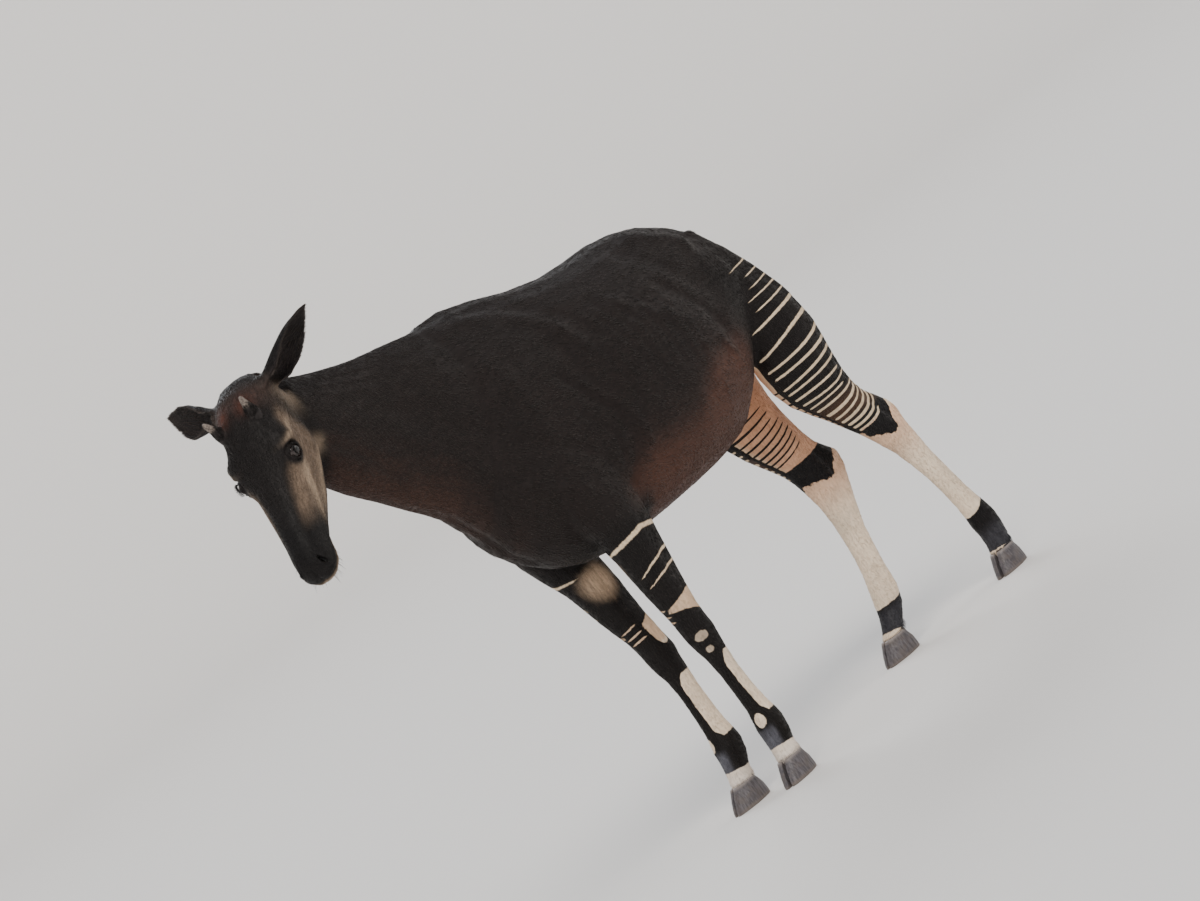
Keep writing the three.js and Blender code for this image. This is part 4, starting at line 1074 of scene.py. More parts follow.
def coatMaterial(name):
    settings = coatSet[name]
    material, tree, shader = newMaterial(name)
    for socket in ("Sheen Weight", "Sheen Roughness", "Specular IOR Level"):
        shader.inputs[socket].default_value = settings[socket]
    shader.inputs["Sheen Tint"].default_value = (1.0, 0.93, 0.86, 1)
    place = put(tree, "ShaderNodeTexCoord").outputs["Object"]
    strand = attributeNode(tree, "strand", "Vector")
    marking = put(tree, "ShaderNodeGroup", node_tree=markingGroup)
    link(tree, place, marking.inputs["Place"])
    link(tree, strand, marking.inputs["Strand"])
    for socket in ("Band", "Phase", "Half", "Ink"):
        link(tree, attributeNode(tree, socket.lower(), "Fac"), marking.inputs[socket])
    hair = put(tree, "ShaderNodeGroup", node_tree=strandGroup)
    link(tree, strand, hair.inputs["Strand"])
    ground = blend(tree, marking.outputs["Pale"], attributeNode(tree, "dark", "Color"),
                   attributeNode(tree, "pale", "Color"))
    shade = ramp(tree, hair.outputs["Shade"], 0, 1, 0.72, 1.24)
    shade = calc(tree, "ADD", shade, calc(tree, "MULTIPLY", calc(tree, "SUBTRACT", 1.0, shade),
                                          calc(tree, "MULTIPLY", marking.outputs["Pale"], 0.62)))
    cloud = ramp(tree, noise(tree, place, 9, 3), 0.3, 0.7, 0.9, 1.1)
    play = put(tree, "ShaderNodeVectorMath", operation="SCALE")
    link(tree, ground, play.inputs[0])
    link(tree, calc(tree, "MULTIPLY", shade, cloud), play.inputs["Scale"])
    bare = attributeNode(tree, "bare", "Fac")
    skinTone = (*linear(11, 9, 9), 1)
    link(tree, blend(tree, bare, play.outputs[0], skinTone), shader.inputs["Base Color"])
    rough = ramp(tree, hair.outputs["Shade"], 0, 1, settings["Roughness"] + 0.1, settings["Roughness"] - 0.08)
    bareRough = calc(tree, "MULTIPLY", rough, ramp(tree, bare, 0, 1, 1.0, 0.55))
    link(tree, bareRough, shader.inputs["Roughness"])
    bump = put(tree, "ShaderNodeBump")
    bump.inputs["Strength"].default_value = settings["bump"]
    bump.inputs["Distance"].default_value = settings["distance"]
    link(tree, hair.outputs["Height"], bump.inputs["Height"])
    link(tree, bump.outputs["Normal"], shader.inputs["Normal"])
    return material


coatFur = coatMaterial("coatFur")
coatTuft = coatMaterial("coatTuft")


def trianglesOf(mesh):
    mesh.calc_loop_triangles()
    corner = np.empty(len(mesh.loop_triangles) * 3, np.int32)
    mesh.loop_triangles.foreach_get("vertices", corner)
    return corner.reshape(-1, 3)


# Thinned by shape, so that the finest faces stay where the form bends most
over = len(skin.data.polygons)
if over > skinSet["triangles"]:
    thin = skin.modifiers.new("thin", "DECIMATE")
    thin.ratio = skinSet["triangles"] / over
    applied(skin)
print("stage: skin thinned from", over, "to", len(skin.data.polygons), "triangles")

points = pointsOf(skin.data)
smoothShaded(skin.data)
normals = normalsOf(skin.data)
eyeBare = np.zeros(len(points))
nostrilBare = np.zeros(len(points))
for cheek, centre in zip((1, -1), eyeCentres):
    u, v, d, axes = localPlace(points, centre, headDirection(*eyeSet["lengthwise"]),
                               headDirection(*mirrored(eyeSet["facing"], cheek)))
    half = np.where(v > 0, eyeSet["upper"], eyeSet["lower"])
    q = np.abs(v) / half + (u / eyeSet["long"]) ** 2
    eyeBare = np.maximum(eyeBare, (d > 0) * (np.hypot(u, v) < 0.04) * (1 - smooth(1.12, 1.45, q)))
for cheek, centre in zip((1, -1), nostrilCentres):
    along = headDirection(*mirrored(nostrilSet["along"], cheek))
    u, v, d, axes = localPlace(points, centre, along, headDirection(*mirrored((0.45, 0.75, 0.5), cheek)))
    bent = v + 0.2 * (u / nostrilSet["long"]) ** 2 * nostrilSet["wide"] * 2
    q = np.hypot(u / nostrilSet["long"], bent / (nostrilSet["wide"] * (1 + 0.35 * u / nostrilSet["long"])))
    nostrilBare = np.maximum(nostrilBare, (np.abs(d) < 0.03) * (1 - smooth(0.9, 1.5, q)))
rel = points - headToFrame(*mouthSet["corner"], 0)
lipLine = smooth(0, 0.01, rel @ mouthAlong) * np.exp(-((rel @ mouthUp) / 0.003) ** 2) * (rel @ mouthAlong < 0.16)
bare = np.maximum.reduce([eyeBare, nostrilBare, lipLine * (np.abs(rel @ headLeft) < 0.07)])
skinCoat = coatAt(points, normals)
paintCoat(skin.data, skinCoat, strandAt(points), bare)
skin.data.materials.clear()
skin.data.materials.append(coatFur)
print("stage: skin coloured")

# Tufts of short hair over the skin, each a thin closed lock that lies along the coat
corners = trianglesOf(skin.data)
mid = points[corners].mean(1)
edgeA = points[corners[:, 1]] - points[corners[:, 0]]
edgeB = points[corners[:, 2]] - points[corners[:, 0]]
faceNormal = np.cross(edgeA, edgeB)
area = np.linalg.norm(faceNormal, axis=1) / 2
faceNormal = unit(faceNormal)
faceBare = bare[corners].max(1)
midMm = (mid - shift) * 1000
headCut = (midMm - np.array((-598, -45, 1440))) @ headForward
earReach = np.zeros(len(mid))
earInside = np.zeros(len(mid))
for side in ("left", "right"):
    root, along, across, mouth = earFrame(side)
    rel = mid - shift - root
    reach = rel @ along
    off = np.linalg.norm(rel - reach[:, None] * along, axis=1)
    own = (off < 0.07) & (reach > 0.016) & (reach < 0.25)
    earReach = np.where(own, (reach - earSet["start"]) / earSet["length"], earReach)
    earInside = np.where(own, smooth(0.1, 0.5, faceNormal @ mouth), earInside)
isEar = earReach > 0
isHeadFace = (headCut > 0) & ~isEar
isLegFace = (midMm[:, 2] < 800) & ~isHeadFace & ~isEar
isTail = (midMm[:, 0] > np.where(midMm[:, 2] > 1105, 940, 968)) & (midMm[:, 2] > 785)
isTail = isTail & (np.abs(midMm[:, 1]) < 34) & ~isEar
neckSide = (midMm - np.array((-205, 0, 1270))) @ unit((-0.9, 0, 0.436)) > 0
isNeck = neckSide & ~isHeadFace & ~isEar & ~isLegFace
isTorso = ~(isEar | isHeadFace | isLegFace | isNeck | isTail)
muzzleward = smooth(0.30, 0.50, headPlace(mid - shift)[:, 0])

# Where each root lies on an unwrap of its part of the skin, from 0 to 1
def aroundBody(mm):
    return np.stack((np.interp(mm[:, 0], [-320, 1010], [0.02, 0.98]),
                     0.5 + np.arctan2(mm[:, 1], mm[:, 2] - 1070) / (2 * math.pi) * 0.96), 1)


def aroundNeck(mm):
    along = (mm - np.array((-205, 0, 1270))) @ unit((-0.8, -0.1, 0.5))
    across = np.cross(unit((-0.8, -0.1, 0.5)), (0, 1, 0))
    rel = mm - np.array((-205, 0, 1270)) - along[:, None] * unit((-0.8, -0.1, 0.5))
    return np.stack((np.interp(along, [-60, 560], [0.02, 0.98]),
                     0.5 + np.arctan2(rel[:, 1], rel @ across) / (2 * math.pi) * 0.96), 1)


def aroundLegs(mm):
    which, angle, radius = legPlace(mm)
    return np.stack(((which + 0.5 + angle / 360 * 0.96) / 4, np.interp(mm[:, 2], [40, 830], [0.02, 0.98])), 1)


def aroundHead(mm):
    a, n, l = headPlace(mm / 1000).T
    return np.stack((np.interp(a, [-0.06, 0.58], [0.02, 0.98]),
                     0.5 + np.arctan2(l, n + 0.04) / (2 * math.pi) * 0.96), 1)


def aroundEars(mm):
    made = np.zeros((len(mm), 2))
    for tile, side in enumerate(("left", "right")):
        root, along, across, mouth = earFrame(side)
        rel = mm / 1000 - root
        mine = (mm[:, 1] < -45) == (side == "left")
        angle = np.arctan2(rel @ across, -(rel @ mouth)) / (2 * math.pi)
        high = np.interp(rel @ along, [0, 0.24], [0.02, 0.98])
        made[mine] = np.stack(((tile + 0.5 + angle * 0.94) / 2, high), 1)[mine]
    return made


def aroundTail(mm):
    return np.stack((0.5 + np.arctan2(mm[:, 1], mm[:, 0] - 1030) / (2 * math.pi) * 0.96,
                     np.interp(mm[:, 2], [640, 1220], [0.02, 0.98])), 1)


# Cross-section and length of a tuft: 3 corners at the root, 3 half way, and the tip
tuftFaces = np.array([(0, 2, 1), (0, 1, 4), (0, 4, 3), (1, 2, 5), (1, 5, 4), (2, 0, 3), (2, 3, 5),
                      (3, 4, 6), (4, 5, 6), (5, 3, 6)])
patchUv = np.array([(-1, -1), (1, -1), (0, -1), (-1, 0), (1, 0), (0, 0), (0, 1)]) * 0.0015


def meshFrom(name, co, faces):
    mesh = bpy.data.meshes.new(name)
    mesh.vertices.add(len(co))
    mesh.loops.add(faces.size)
    mesh.polygons.add(len(faces))
    mesh.vertices.foreach_set("co", np.ascontiguousarray(co, np.float32).ravel())
    mesh.loops.foreach_set("vertex_index", np.ascontiguousarray(faces, np.int32).ravel())
    mesh.polygons.foreach_set("loop_start", np.arange(0, faces.size, faces.shape[1], dtype=np.int32))
    mesh.update(calc_edges=True)
    return mesh


# Sets out a coat piece. density weighs the faces, and size gives length, width, thickness and rise by place.
def growCoat(name, weight, count, sizeOf, unwrap, lean=0.0, lieOf=lieAt):
    chance = weight * area * (1 - np.clip(faceBare * 1.4, 0, 1))
    chosen = rng.choice(len(area), count, p=chance / chance.sum())
    r1, r2 = np.sqrt(rng.random(count)), rng.random(count)
    bary = np.stack((1 - r1, r1 * (1 - r2), r1 * r2), 1)
    root = (points[corners[chosen]] * bary[:, :, None]).sum(1)
    facing = unit((normals[corners[chosen]] * bary[:, :, None]).sum(1))
    lie = lieOf(root, facing)
    across = np.cross(facing, lie)
    swing = rng.normal(0, 0.16, count)[:, None]
    lie = unit(lie + across * swing)
    across = np.cross(facing, lie)
    rootMm = (root - shift) * 1000
    length, width, thick, rise = [np.asarray(v)[:, None] / 1000 for v in sizeOf(rootMm, root)]
    scale = rng.uniform(0.65, 1.3, count)[:, None]
    length = length * scale
    rise = rise * rng.uniform(0.5, 1.4, count)[:, None]
    base = root - facing * thick * 0.9
    middlePlace = root + lie * length * 0.5 + facing * (rise * 0.7)
    tip = root + lie * length + facing * (rise * 0.75 + lean * length)
    tip = tip + across * length * rng.normal(0, 0.05, count)[:, None]
    co = np.stack((base - across * width / 2, base + across * width / 2, base + facing * thick * 1.6,
                   middlePlace - across * width * 0.42, middlePlace + across * width * 0.42,
                   middlePlace + facing * thick, tip), 1).reshape(-1, 3)
    faces = (tuftFaces[None] + np.arange(count)[:, None, None] * 7).reshape(-1, 3)
    mesh = meshFrom(name, co, faces)
    atRoot, atTip = coatAt(root, facing), coatAt(tip, facing)
    lightness = rng.uniform(0.8, 1.26, count)[:, None]
    coat = {}
    for key, low in atRoot.items():
        high = atTip[key]
        if key == "phase":
            high = np.where(np.abs(high - low) > 1.5, low, high)
        coat[key] = np.stack([mix(low, high, t) for t in (0, 0, 0, 0.5, 0.5, 0.5, 1)], 1).reshape((-1,) + low.shape[1:])
    coat["dark"] = coat["dark"] * np.repeat(lightness, 7, axis=0)
    coat["pale"] = np.clip(coat["pale"] * np.repeat(rng.uniform(0.9, 1.06, count)[:, None], 7, axis=0), 0, 1)
    paintCoat(mesh, coat, strandAt(co), np.zeros(len(co)))
    atlas = unwrap(rootMm)
    uv = mesh.uv_layers.new(name="OFBake")
    corner = np.repeat(atlas, 30, axis=0) + np.tile(patchUv[tuftFaces.ravel()], (count, 1))
    uv.data.foreach_set("uv", np.clip(corner, 0, 1).astype(np.float32).ravel())
    smoothShaded(mesh)
    mesh.materials.append(coatTuft)
    made = newObject(name, mesh)
    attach(made, "root")
    return made


def sizes(length, width, thick, rise):
    def sizeOf(mm, root):
        one = np.ones(len(mm))
        return length * one, width * one, thick * one, rise * one
    return sizeOf


def headSizes(mm, root):
    fine = smooth(0.26, 0.46, headPlace(root - shift)[:, 0])
    nearEye = np.maximum(*[1 - smooth(0.03, 0.06, np.linalg.norm(root - c, axis=1)) for c in eyeCentres])
    fine = np.maximum(fine, nearEye * 0.8)
    return 8.5 - 4.2 * fine, 1.5 - 0.6 * fine, 0.42 - 0.16 * fine, 0.45 - 0.2 * fine


def legSizes(mm, root):
    foot = smooth(330, 120, mm[:, 2])
    return 9.5 - 2 * foot, 1.8 - 0.4 * foot, 0.45 - 0.05 * foot, 0.45 + 0.2 * foot


def bodySizes(mm, root):
    haunch = smooth(600, 680, mm[:, 0]) * smooth(1230, 1130, mm[:, 2])
    return 17 - 8.5 * haunch, 3.0 - 1.3 * haunch, 0.36 + 0.04 * haunch, 0.3 + 0.1 * haunch


most = 19900
haunchward = 1 + 1.6 * smooth(600, 680, midMm[:, 0]) * smooth(1230, 1130, midMm[:, 2])
leftSide = midMm[:, 1] < 0
growCoat("coatFlankLeft", isTorso * leftSide * haunchward, most, bodySizes, aroundBody)
growCoat("coatFlankRight", isTorso * ~leftSide * haunchward, most, bodySizes, aroundBody)
growCoat("coatNeck", isNeck * 1.0, most, sizes(14, 2.4, 0.36, 0.32), aroundNeck)
growCoat("coatForelegs", (isLegFace & (midMm[:, 0] < 480)) * 1.0, most, legSizes, aroundLegs)
growCoat("coatHindlegs", (isLegFace & (midMm[:, 0] >= 480)) * 1.0, most, legSizes, aroundLegs)
growCoat("coatHead", isHeadFace * (1 + 0.8 * muzzleward), most, headSizes, aroundHead)
growCoat("coatEars", isEar * (1 - 0.75 * earInside), 12000, sizes(7, 1.2, 0.35, 0.5), aroundEars)
print("stage: coat grown")


# Longer locks, each a flat tapering strip that bends: root, direction, bend and side are given for each
def growLocks(name, root, heading, bend, flat, length, width, thick, coat, unwrap, rings=4):
    count = len(root)
    steps = np.linspace(0, 1, rings + 1)[:-1]
    heading, flat = unit(heading), unit(flat)
    length = np.broadcast_to(length, (count,))[:, None]
    width = np.broadcast_to(width, (count,))[:, None]
    parts = []
    for t in steps:
        centre = root + heading * length * t + bend * (length * t * t)
        across = flat * width / 2 * (1 - t ** 1.8 * 0.72)
        normal = unit(np.cross(flat, heading)) * thick * (1 - 0.6 * t)
        parts += [centre - across, centre + normal, centre + across, centre - normal]
    parts.append(root + heading * length + bend * length)
    co = np.stack(parts, 1).reshape(-1, 3)
    each = rings * 4 + 1
    faces = [(0, 1, 2), (0, 2, 3)]
    for r in range(rings - 1):
        for k in range(4):
            a, b = r * 4 + k, r * 4 + (k + 1) % 4
            faces += [(a, a + 4, b), (b, a + 4, b + 4)]
    top = (rings - 1) * 4
    faces += [(top + k, each - 1, top + (k + 1) % 4) for k in range(4)]
    faces = np.array(faces)
    mesh = meshFrom(name, co, (faces[None] + np.arange(count)[:, None, None] * each).reshape(-1, 3))
    bm = bmesh.new()
    bm.from_mesh(mesh)
    bmesh.ops.recalc_face_normals(bm, faces=bm.faces)
    bm.to_mesh(mesh)
    bm.free()
    coat = {key: np.repeat(value, each, axis=0) for key, value in coat.items()}
    strand = (co - shift) * np.array((1, 1, 0.2))
    paintCoat(mesh, coat, strand, np.zeros(len(co)))
    atlas = unwrap((root - shift) * 1000)
    vertUv = np.repeat(atlas, each, axis=0) + np.tile(
        np.stack((np.linspace(-1, 1, each), np.cos(np.arange(each) * 2.1)), 1) * 0.0015, (count, 1))
    corner = np.empty(len(mesh.loops), np.int32)
    mesh.loops.foreach_get("vertex_index", corner)
    uv = mesh.uv_layers.new(name="OFBake")
    uv.data.foreach_set("uv", np.clip(vertUv[corner], 0, 1).astype(np.float32).ravel())
    smoothShaded(mesh)
    mesh.materials.append(coatTuft)
    made = newObject(name, mesh)
    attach(made, "root")
    return made


def plainCoat(name, count, spread=0.25):
    tone = tones[name] * rng.uniform(1 - spread, 1 + spread, count)[:, None]
    return {"dark": tone, "pale": tone, "band": np.full(count, -0.05), "phase": np.full(count, 0.5),
            "half": np.full(count, -0.2), "ink": np.zeros(count)}


# Tuft of the tail: locks hung round the lower half of the dock
tailSet = {"locks": 420, "top": 900, "bottom": 812, "length": (0.11, 0.19), "width": 0.0050, "thick": 0.0009}
dockLine = curveThrough([(z, x, radius) for x, z, radius in dockPath[::-1]])
count = tailSet["locks"]
hung = tailSet["bottom"] + (tailSet["top"] - tailSet["bottom"]) * rng.random(count) ** 1.1
dockX, dockRadius = dockLine(hung).T
around = rng.uniform(0, 2 * math.pi, count)
outward = np.stack((np.cos(around), np.sin(around), np.zeros(count)), 1)
root = np.stack((dockX, np.zeros(count), hung), 1) / 1000 + outward * (dockRadius * 0.72 / 1000)[:, None] + shift
heading = outward * rng.uniform(0.10, 0.30, count)[:, None] + np.array((0, 0, -1))
bend = -outward * rng.uniform(0.02, 0.14, count)[:, None] + rng.normal(0, 0.02, (count, 3))
length = rng.uniform(*tailSet["length"], count) * (1 - 0.25 * (hung - 812) / 90)
growLocks("tailTuft", root, heading, bend, np.cross(outward, (0, 0, 1.0)), length, tailSet["width"],
          tailSet["thick"], plainCoat("leg", count), aroundTail, rings=5)
growCoat("coatTail", isTail * 1.0, 2600, sizes(13, 2.0, 0.6, 1.0), aroundTail)

# Hair along the edges of the ears, and longer hair inside them
fringeSet = {"edge": 1500, "inside": 420}
roots, headings, flats, lengths = [], [], [], []
for side in ("left", "right"):
    rootPlace, along, across, mouth = earFrame(side)
    count = fringeSet["edge"] // 2
    u = rng.uniform(0.02, 0.995, count)
    edge = rng.choice((-1.0, 1.0), count)
    here = leafPoint(side, u, edge * 0.985, earSet["wall"] / 2)
    back = leafPoint(side, u, edge * 0.86, earSet["wall"] / 2)
    outwardEdge = unit(here - back)
    roots.append(here - outwardEdge * 0.001)
    headings.append(unit(along * 0.85 + outwardEdge * 0.42))
    flats.append(np.cross(headings[-1], mouth))
    lengths.append(rng.uniform(0.006, 0.012, count) * (1 - 0.3 * u))
    count = fringeSet["inside"] // 2
    u = rng.uniform(0.08, 0.72, count)
    v = rng.uniform(-0.95, 0.95, count)
    here = leafPoint(side, u, v, earSet["wall"])
    toward = unit(leafPoint(side, u, v * 0.8, earSet["wall"] + 0.01) - here)
    roots.append(here)
    headings.append(unit(along * 0.9 + toward * 0.35))
    flats.append(np.cross(headings[-1], toward))
    lengths.append(rng.uniform(0.012, 0.026, count))
root = np.concatenate(roots) + shift
count = len(root)
growLocks("earFringe", root, np.concatenate(headings), rng.normal(0, 0.06, (count, 3)), np.concatenate(flats),
          np.concatenate(lengths), 0.0012, 0.0003, plainCoat("earRim", count, 0.4), aroundEars, rings=3)

# Lashes over the eyes and bristles round the lips
roots, headings, flats, lengths, bends = [], [], [], [], []
for cheek, centre in zip((1, -1), eyeCentres):
    none, none, none, axes = localPlace(np.zeros((1, 3)), centre, headDirection(*eyeSet["lengthwise"]),
                                        headDirection(*mirrored(eyeSet["facing"], cheek)))
    for number, sign, reach in ((54, 1, 0.0105), (26, -1, 0.0055)):
        u = np.linspace(-0.9, 0.9, number) * eyeSet["long"]
        half = eyeSet["upper"] if sign > 0 else eyeSet["lower"]
        v = sign * half * (1 - (u / eyeSet["long"]) ** 2) * 1.03
        d = np.sqrt(eyeSet["lid"] ** 2 - u * u - v * v) - 0.0003
        roots.append(centre + u[:, None] * axes[0] + v[:, None] * axes[1] + d[:, None] * axes[2])
        fan = (u / eyeSet["long"] * 0.5)[:, None]
        headings.append(axes[2] * 0.9 + axes[1] * sign * 0.45 + axes[0] * fan)
        bends.append(np.tile(axes[1] * (-0.25 if sign > 0 else 0.1), (number, 1)))
        flats.append(np.tile(axes[0], (number, 1)))
        lengths.append(rng.uniform(0.75, 1.15, number) * reach)
count = 90
a = rng.uniform(0.46, 0.548, count)
side = rng.choice((-1.0, 1.0), count)
wanted = np.stack((a, rng.uniform(-0.095, -0.02, count), side * rng.uniform(0.012, 0.05, count)), 1)
nearest = np.array([np.argmin(((headPlace(points - shift) - place) ** 2).sum(1)) for place in wanted])
roots.append(points[nearest] - normals[nearest] * 0.001)
headings.append(normals[nearest] * 0.9 + headAlong * 0.5 - upward * 0.4)
flats.append(np.cross(headings[-1], upward))
bends.append(np.tile(-upward * 0.2, (count, 1)))
lengths.append(rng.uniform(0.008, 0.022, count))
root = np.concatenate(roots)
count = len(root)
growLocks("faceBristles", root, np.concatenate(headings), np.concatenate(bends), np.concatenate(flats),
          np.concatenate(lengths), 0.00075, 0.0003, plainCoat("muzzle", count), aroundHead, rings=3)

print("stage: locks grown")

# Eyes: a ball with a clear, bulging front, dark brown with a lying pupil
eyeLook = {"iris": 0.0118, "pupil": (0.0066, 0.0034), "bulge": 0.0016}
eyeMaterial, tree, shader = newMaterial("eyeGlass", Roughness=0.04)
shader.inputs["Coat Weight"].default_value = 0.45
shader.inputs["Coat Roughness"].default_value = 0.02
shader.inputs["Specular IOR Level"].default_value = 0.35
iris = attributeNode(tree, "iris", "Fac")
pupil = attributeNode(tree, "pupil", "Fac")
spokes = noise(tree, attributeNode(tree, "spokes", "Vector"), 26, 3)
white = (*linear(40, 28, 24), 1)
ring = blend(tree, ramp(tree, spokes, 0.35, 0.7), (*linear(13, 8, 6), 1), (*linear(36, 21, 13), 1))
ring = blend(tree, ramp(tree, iris, 0.80, 0.98), ring, (*linear(10, 6, 5), 1))
ball = blend(tree, ramp(tree, iris, 0.98, 1.06), ring, white)
link(tree, blend(tree, ramp(tree, pupil, 0.9, 1.1), (*linear(3, 3, 4), 1), ball), shader.inputs["Base Color"])
link(tree, ramp(tree, iris, 0.95, 1.3, 0.03, 0.22), shader.inputs["Roughness"])


def makeEye(side, cheek):
    bm = bmesh.new()
    bmesh.ops.create_uvsphere(bm, u_segments=56, v_segments=40, radius=eyeSet["radius"] - 0.0004)
    out = headDirection(*mirrored(eyeSet["facing"], cheek))
    centre = eyeCentre(cheek)
    none, none, none, axes = localPlace(np.zeros((1, 3)), centre, headDirection(*eyeSet["lengthwise"]), out)
    co = np.array([vert.co for vert in bm.verts])
    off = np.hypot(co[:, 0], co[:, 1])
    front = co[:, 2] > 0
    grow = 1 + front * eyeLook["bulge"] / eyeSet["radius"] * (1 - smooth(0.006, 0.0135, off))
    placed = centre + (co * grow[:, None]) @ np.array((axes[0], axes[1], axes[2]))
    for vert, place in zip(bm.verts, placed):
        vert.co = place
    bmesh.ops.recalc_face_normals(bm, faces=bm.faces)
    mesh = bpy.data.meshes.new("eye")
    bm.to_mesh(mesh)
    bm.free()
    setNumber(mesh, "iris", np.where(front, off / eyeLook["iris"], 2))
    wide, tall = eyeLook["pupil"]
    setNumber(mesh, "pupil", np.where(front, np.hypot(co[:, 0] / wide, co[:, 1] / tall), 9))
    angle = np.arctan2(co[:, 1], co[:, 0])
    setVector(mesh, "spokes", np.stack((np.cos(angle), np.sin(angle), off * 20), 1))
    smoothShaded(mesh)
    mesh.materials.append(eyeMaterial)
    made = newObject("eyeball_" + side, mesh)
    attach(made, "root")
    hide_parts("eye_" + side)
    return made


for side, cheek in (("left", 1), ("right", -1)):
    makeEye(side, cheek)
print("stage: eyes")

# Ossicones: furred cones with a bare, pale tip
ossiconeSet = {"place": (0.120, 0.062, 0.050), "axis": (-0.5, 0.95, 0.2), "height": 0.062}
ossiconeMaterial, tree, shader = newMaterial("ossiconeHorn", Roughness=0.5)
shader.inputs["Specular IOR Level"].default_value = 0.35
objectPlace = put(tree, "ShaderNodeTexCoord").outputs["Object"]
height = attributeNode(tree, "height", "Fac")
rough = noise(tree, objectPlace, 260, 4)
edgeNoise = calc(tree, "SUBTRACT", noise(tree, objectPlace, 120, 2), 0.5)
edgeNoise = calc(tree, "ADD", height, calc(tree, "MULTIPLY", edgeNoise, 0.22))
horn = blend(tree, ramp(tree, rough, 0.3, 0.7), (*linear(78, 68, 62), 1), (*linear(140, 128, 118), 1))
link(tree, blend(tree, ramp(tree, edgeNoise, 0.42, 0.66), (*linear(27, 19, 17), 1), horn), shader.inputs["Base Color"])
link(tree, ramp(tree, rough, 0.3, 0.7, 0.62, 0.42), shader.inputs["Roughness"])
bump = put(tree, "ShaderNodeBump")
bump.inputs["Strength"].default_value = 0.4
bump.inputs["Distance"].default_value = 0.0008
link(tree, rough, bump.inputs["Height"])
link(tree, bump.outputs["Normal"], shader.inputs["Normal"])


def makeOssicone(side, cheek):
    profile = curveThrough([(-22, 20), (0, 18.4), (6, 17.2), (18, 13.6), (32, 10.4), (46, 7.8), (54, 6.2), (59, 4.4),
                            (61.4, 2.2), (62, 0.02)])
    axis = headDirection(*mirrored(ossiconeSet["axis"], cheek))
    base = headToFrame(*mirrored(ossiconeSet["place"], cheek))
    sideways = unit(np.cross(axis, headAlong))
    forward = np.cross(sideways, axis)
    bm = bmesh.new()
    bmesh.ops.create_uvsphere(bm, u_segments=40, v_segments=48, radius=1)
    co = np.array([vert.co for vert in bm.verts])
    level = np.clip((1 - np.arccos(np.clip(co[:, 2], -1, 1)) / math.pi), 0, 1)
    height = -22 + 84 * level
    radius = profile(height)[:, 0] * np.where(level < 0.002, 0.0, 1.0)
    angle = np.arctan2(co[:, 1], co[:, 0])
    knobs = 1 + 0.035 * np.sin(angle * 3 + height * 0.13) + 0.02 * np.sin(angle * 7 + height * 0.4)
    radius = radius * np.where(level < 0.998, knobs, 1)
    placed = base + (axis * height[:, None] + sideways * (np.cos(angle) * radius)[:, None]
                     + forward * (np.sin(angle) * radius)[:, None]) / 1000
    for vert, place in zip(bm.verts, placed):
        vert.co = place
    bmesh.ops.remove_doubles(bm, verts=bm.verts, dist=1e-6)
    bmesh.ops.recalc_face_normals(bm, faces=bm.faces)
    mesh = bpy.data.meshes.new("ossicone")
    bm.to_mesh(mesh)
    bm.free()
    setNumber(mesh, "height", (pointsOf(mesh) - base) @ axis / ossiconeSet["height"])
    smoothShaded(mesh)
    mesh.materials.append(ossiconeMaterial)
    made = newObject("horn_" + side, mesh)
    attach(made, "root")
    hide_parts("ossicone_" + side)
    # fur climbs the lower part in short locks
    count = 420
    h = rng.uniform(2, 40, count) * rng.uniform(0.3, 1, count)
    turned = rng.uniform(0, 2 * math.pi, count)
    outward = sideways * np.cos(turned)[:, None] + forward * np.sin(turned)[:, None]
    root = base + axis * (h / 1000)[:, None] + outward * (profile(h)[:, 0] * 0.95 / 1000)[:, None]
    growLocks("hornFur_" + side, root, axis + outward * 0.16, -outward * 0.14, np.cross(outward, axis),
              rng.uniform(0.006, 0.011, count), 0.0014, 0.0004, plainCoat("forehead", count), aroundHead, rings=3)


for side, cheek in (("left", 1), ("right", -1)):
    makeOssicone(side, cheek)
print("stage: ossicones")

# Hooves: smooth horn claws with growth rings
hoofSet = {"voxel": 0.0021, "ring": 0.00035}
hoofMaterial, tree, shader = newMaterial("hoofHorn", Roughness=0.5)
shader.inputs["Specular IOR Level"].default_value = 0.4
objectPlace = put(tree, "ShaderNodeTexCoord").outputs["Object"]
stretch = put(tree, "ShaderNodeMapping")
stretch.inputs["Scale"].default_value = (1, 1, 0.08)
link(tree, objectPlace, stretch.inputs["Vector"])
streak = noise(tree, stretch.outputs["Vector"], 260, 3, 0.6)
mottle = noise(tree, objectPlace, 46, 4)
high = attributeNode(tree, "height", "Fac")
horn = blend(tree, ramp(tree, streak, 0.3, 0.72), (*linear(62, 58, 61), 1), (*linear(98, 93, 96), 1))
horn = blend(tree, ramp(tree, mottle, 0.42, 0.7, 0, 0.5), horn, (*linear(92, 82, 76), 1))
horn = blend(tree, ramp(tree, high, 0.84, 1.0, 0, 0.6), horn, (*linear(150, 140, 134), 1))
dust = calc(tree, "ADD", high, calc(tree, "MULTIPLY", calc(tree, "SUBTRACT", mottle, 0.5), 0.35))
horn = blend(tree, ramp(tree, dust, 0.02, 0.2, 0.5, 0.0), horn, (*linear(118, 106, 96), 1))
link(tree, horn, shader.inputs["Base Color"])
link(tree, ramp(tree, streak, 0.3, 0.7, 0.58, 0.4), shader.inputs["Roughness"])
bump = put(tree, "ShaderNodeBump")
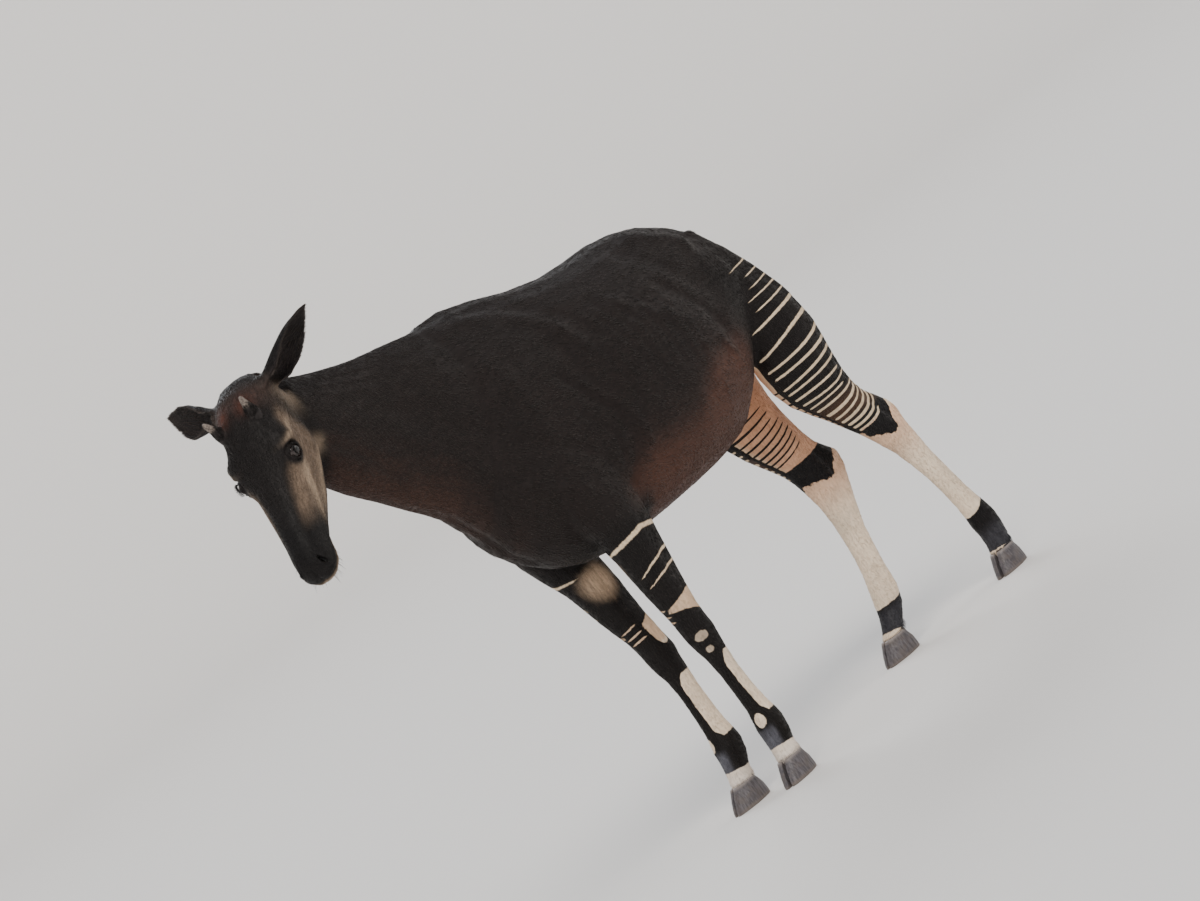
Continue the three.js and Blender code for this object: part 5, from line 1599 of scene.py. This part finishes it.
bump.inputs["Strength"].default_value = 0.35
bump.inputs["Distance"].default_value = 0.0006
link(tree, streak, bump.inputs["Height"])
link(tree, bump.outputs["Normal"], shader.inputs["Normal"])


def makeHoof(node):
    bm = bmesh.new()
    bm.from_mesh(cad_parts[node].data)
    bmesh.ops.remove_doubles(bm, verts=bm.verts, dist=1e-5)
    mesh = bpy.data.meshes.new(node)
    bm.to_mesh(mesh)
    bm.free()
    made = newObject(node.replace("hoof", "claw"), mesh)
    rounder = made.modifiers.new("remesh", "REMESH")
    rounder.mode = "VOXEL"
    rounder.voxel_size = hoofSet["voxel"]
    applied(made)
    co = pointsOf(made.data)
    low, top = co[:, 2].min(), co[:, 2].max()
    co = relax(co, edgesOf(made.data), 7)
    setPoints(made.data, co)
    normal = normalsOf(made.data)
    level = (co[:, 2] - low) / (top - low)
    rings = np.sin(co[:, 2] * 1150 + 1.5 * np.sin(co[:, 0] * 40)) * hoofSet["ring"] * smooth(0.1, 0.3, level)
    worn = 0.0004 * np.sin(co[:, 0] * 700) * np.sin(co[:, 1] * 620)
    sides = 1 - np.abs(normal[:, 2])
    co = co + normal * ((rings + worn) * sides)[:, None]
    co[:, 2] = np.clip(co[:, 2], low, top)
    setPoints(made.data, co)
    setNumber(made.data, "height", level)
    smoothShaded(made.data)
    made.data.materials.append(hoofMaterial)
    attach(made, "root")
    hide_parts(node)


for node in sorted(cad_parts):
    if node.startswith("hoof_"):
        makeHoof(node)

# Hair that falls over the tops of the hooves
roots, headings, flats = [], [], []
low = np.nonzero((midMm[:, 2] > 62) & (midMm[:, 2] < 84) & isLegFace)[0]
count = 3200
chosen = rng.choice(low, count, p=area[low] / area[low].sum())
facing = unit(faceNormal[chosen] * (1, 1, 0.2))
root = mid[chosen] - facing * 0.001
growLocks("coronetHair", root, facing * 0.30 - upward, -facing * 0.12, np.cross(facing, upward),
          rng.uniform(0.010, 0.019, count), 0.0019, 0.0005, coatAt(root + upward * 0.002, facing), aroundLegs,
          rings=3)
print("stage: hooves")
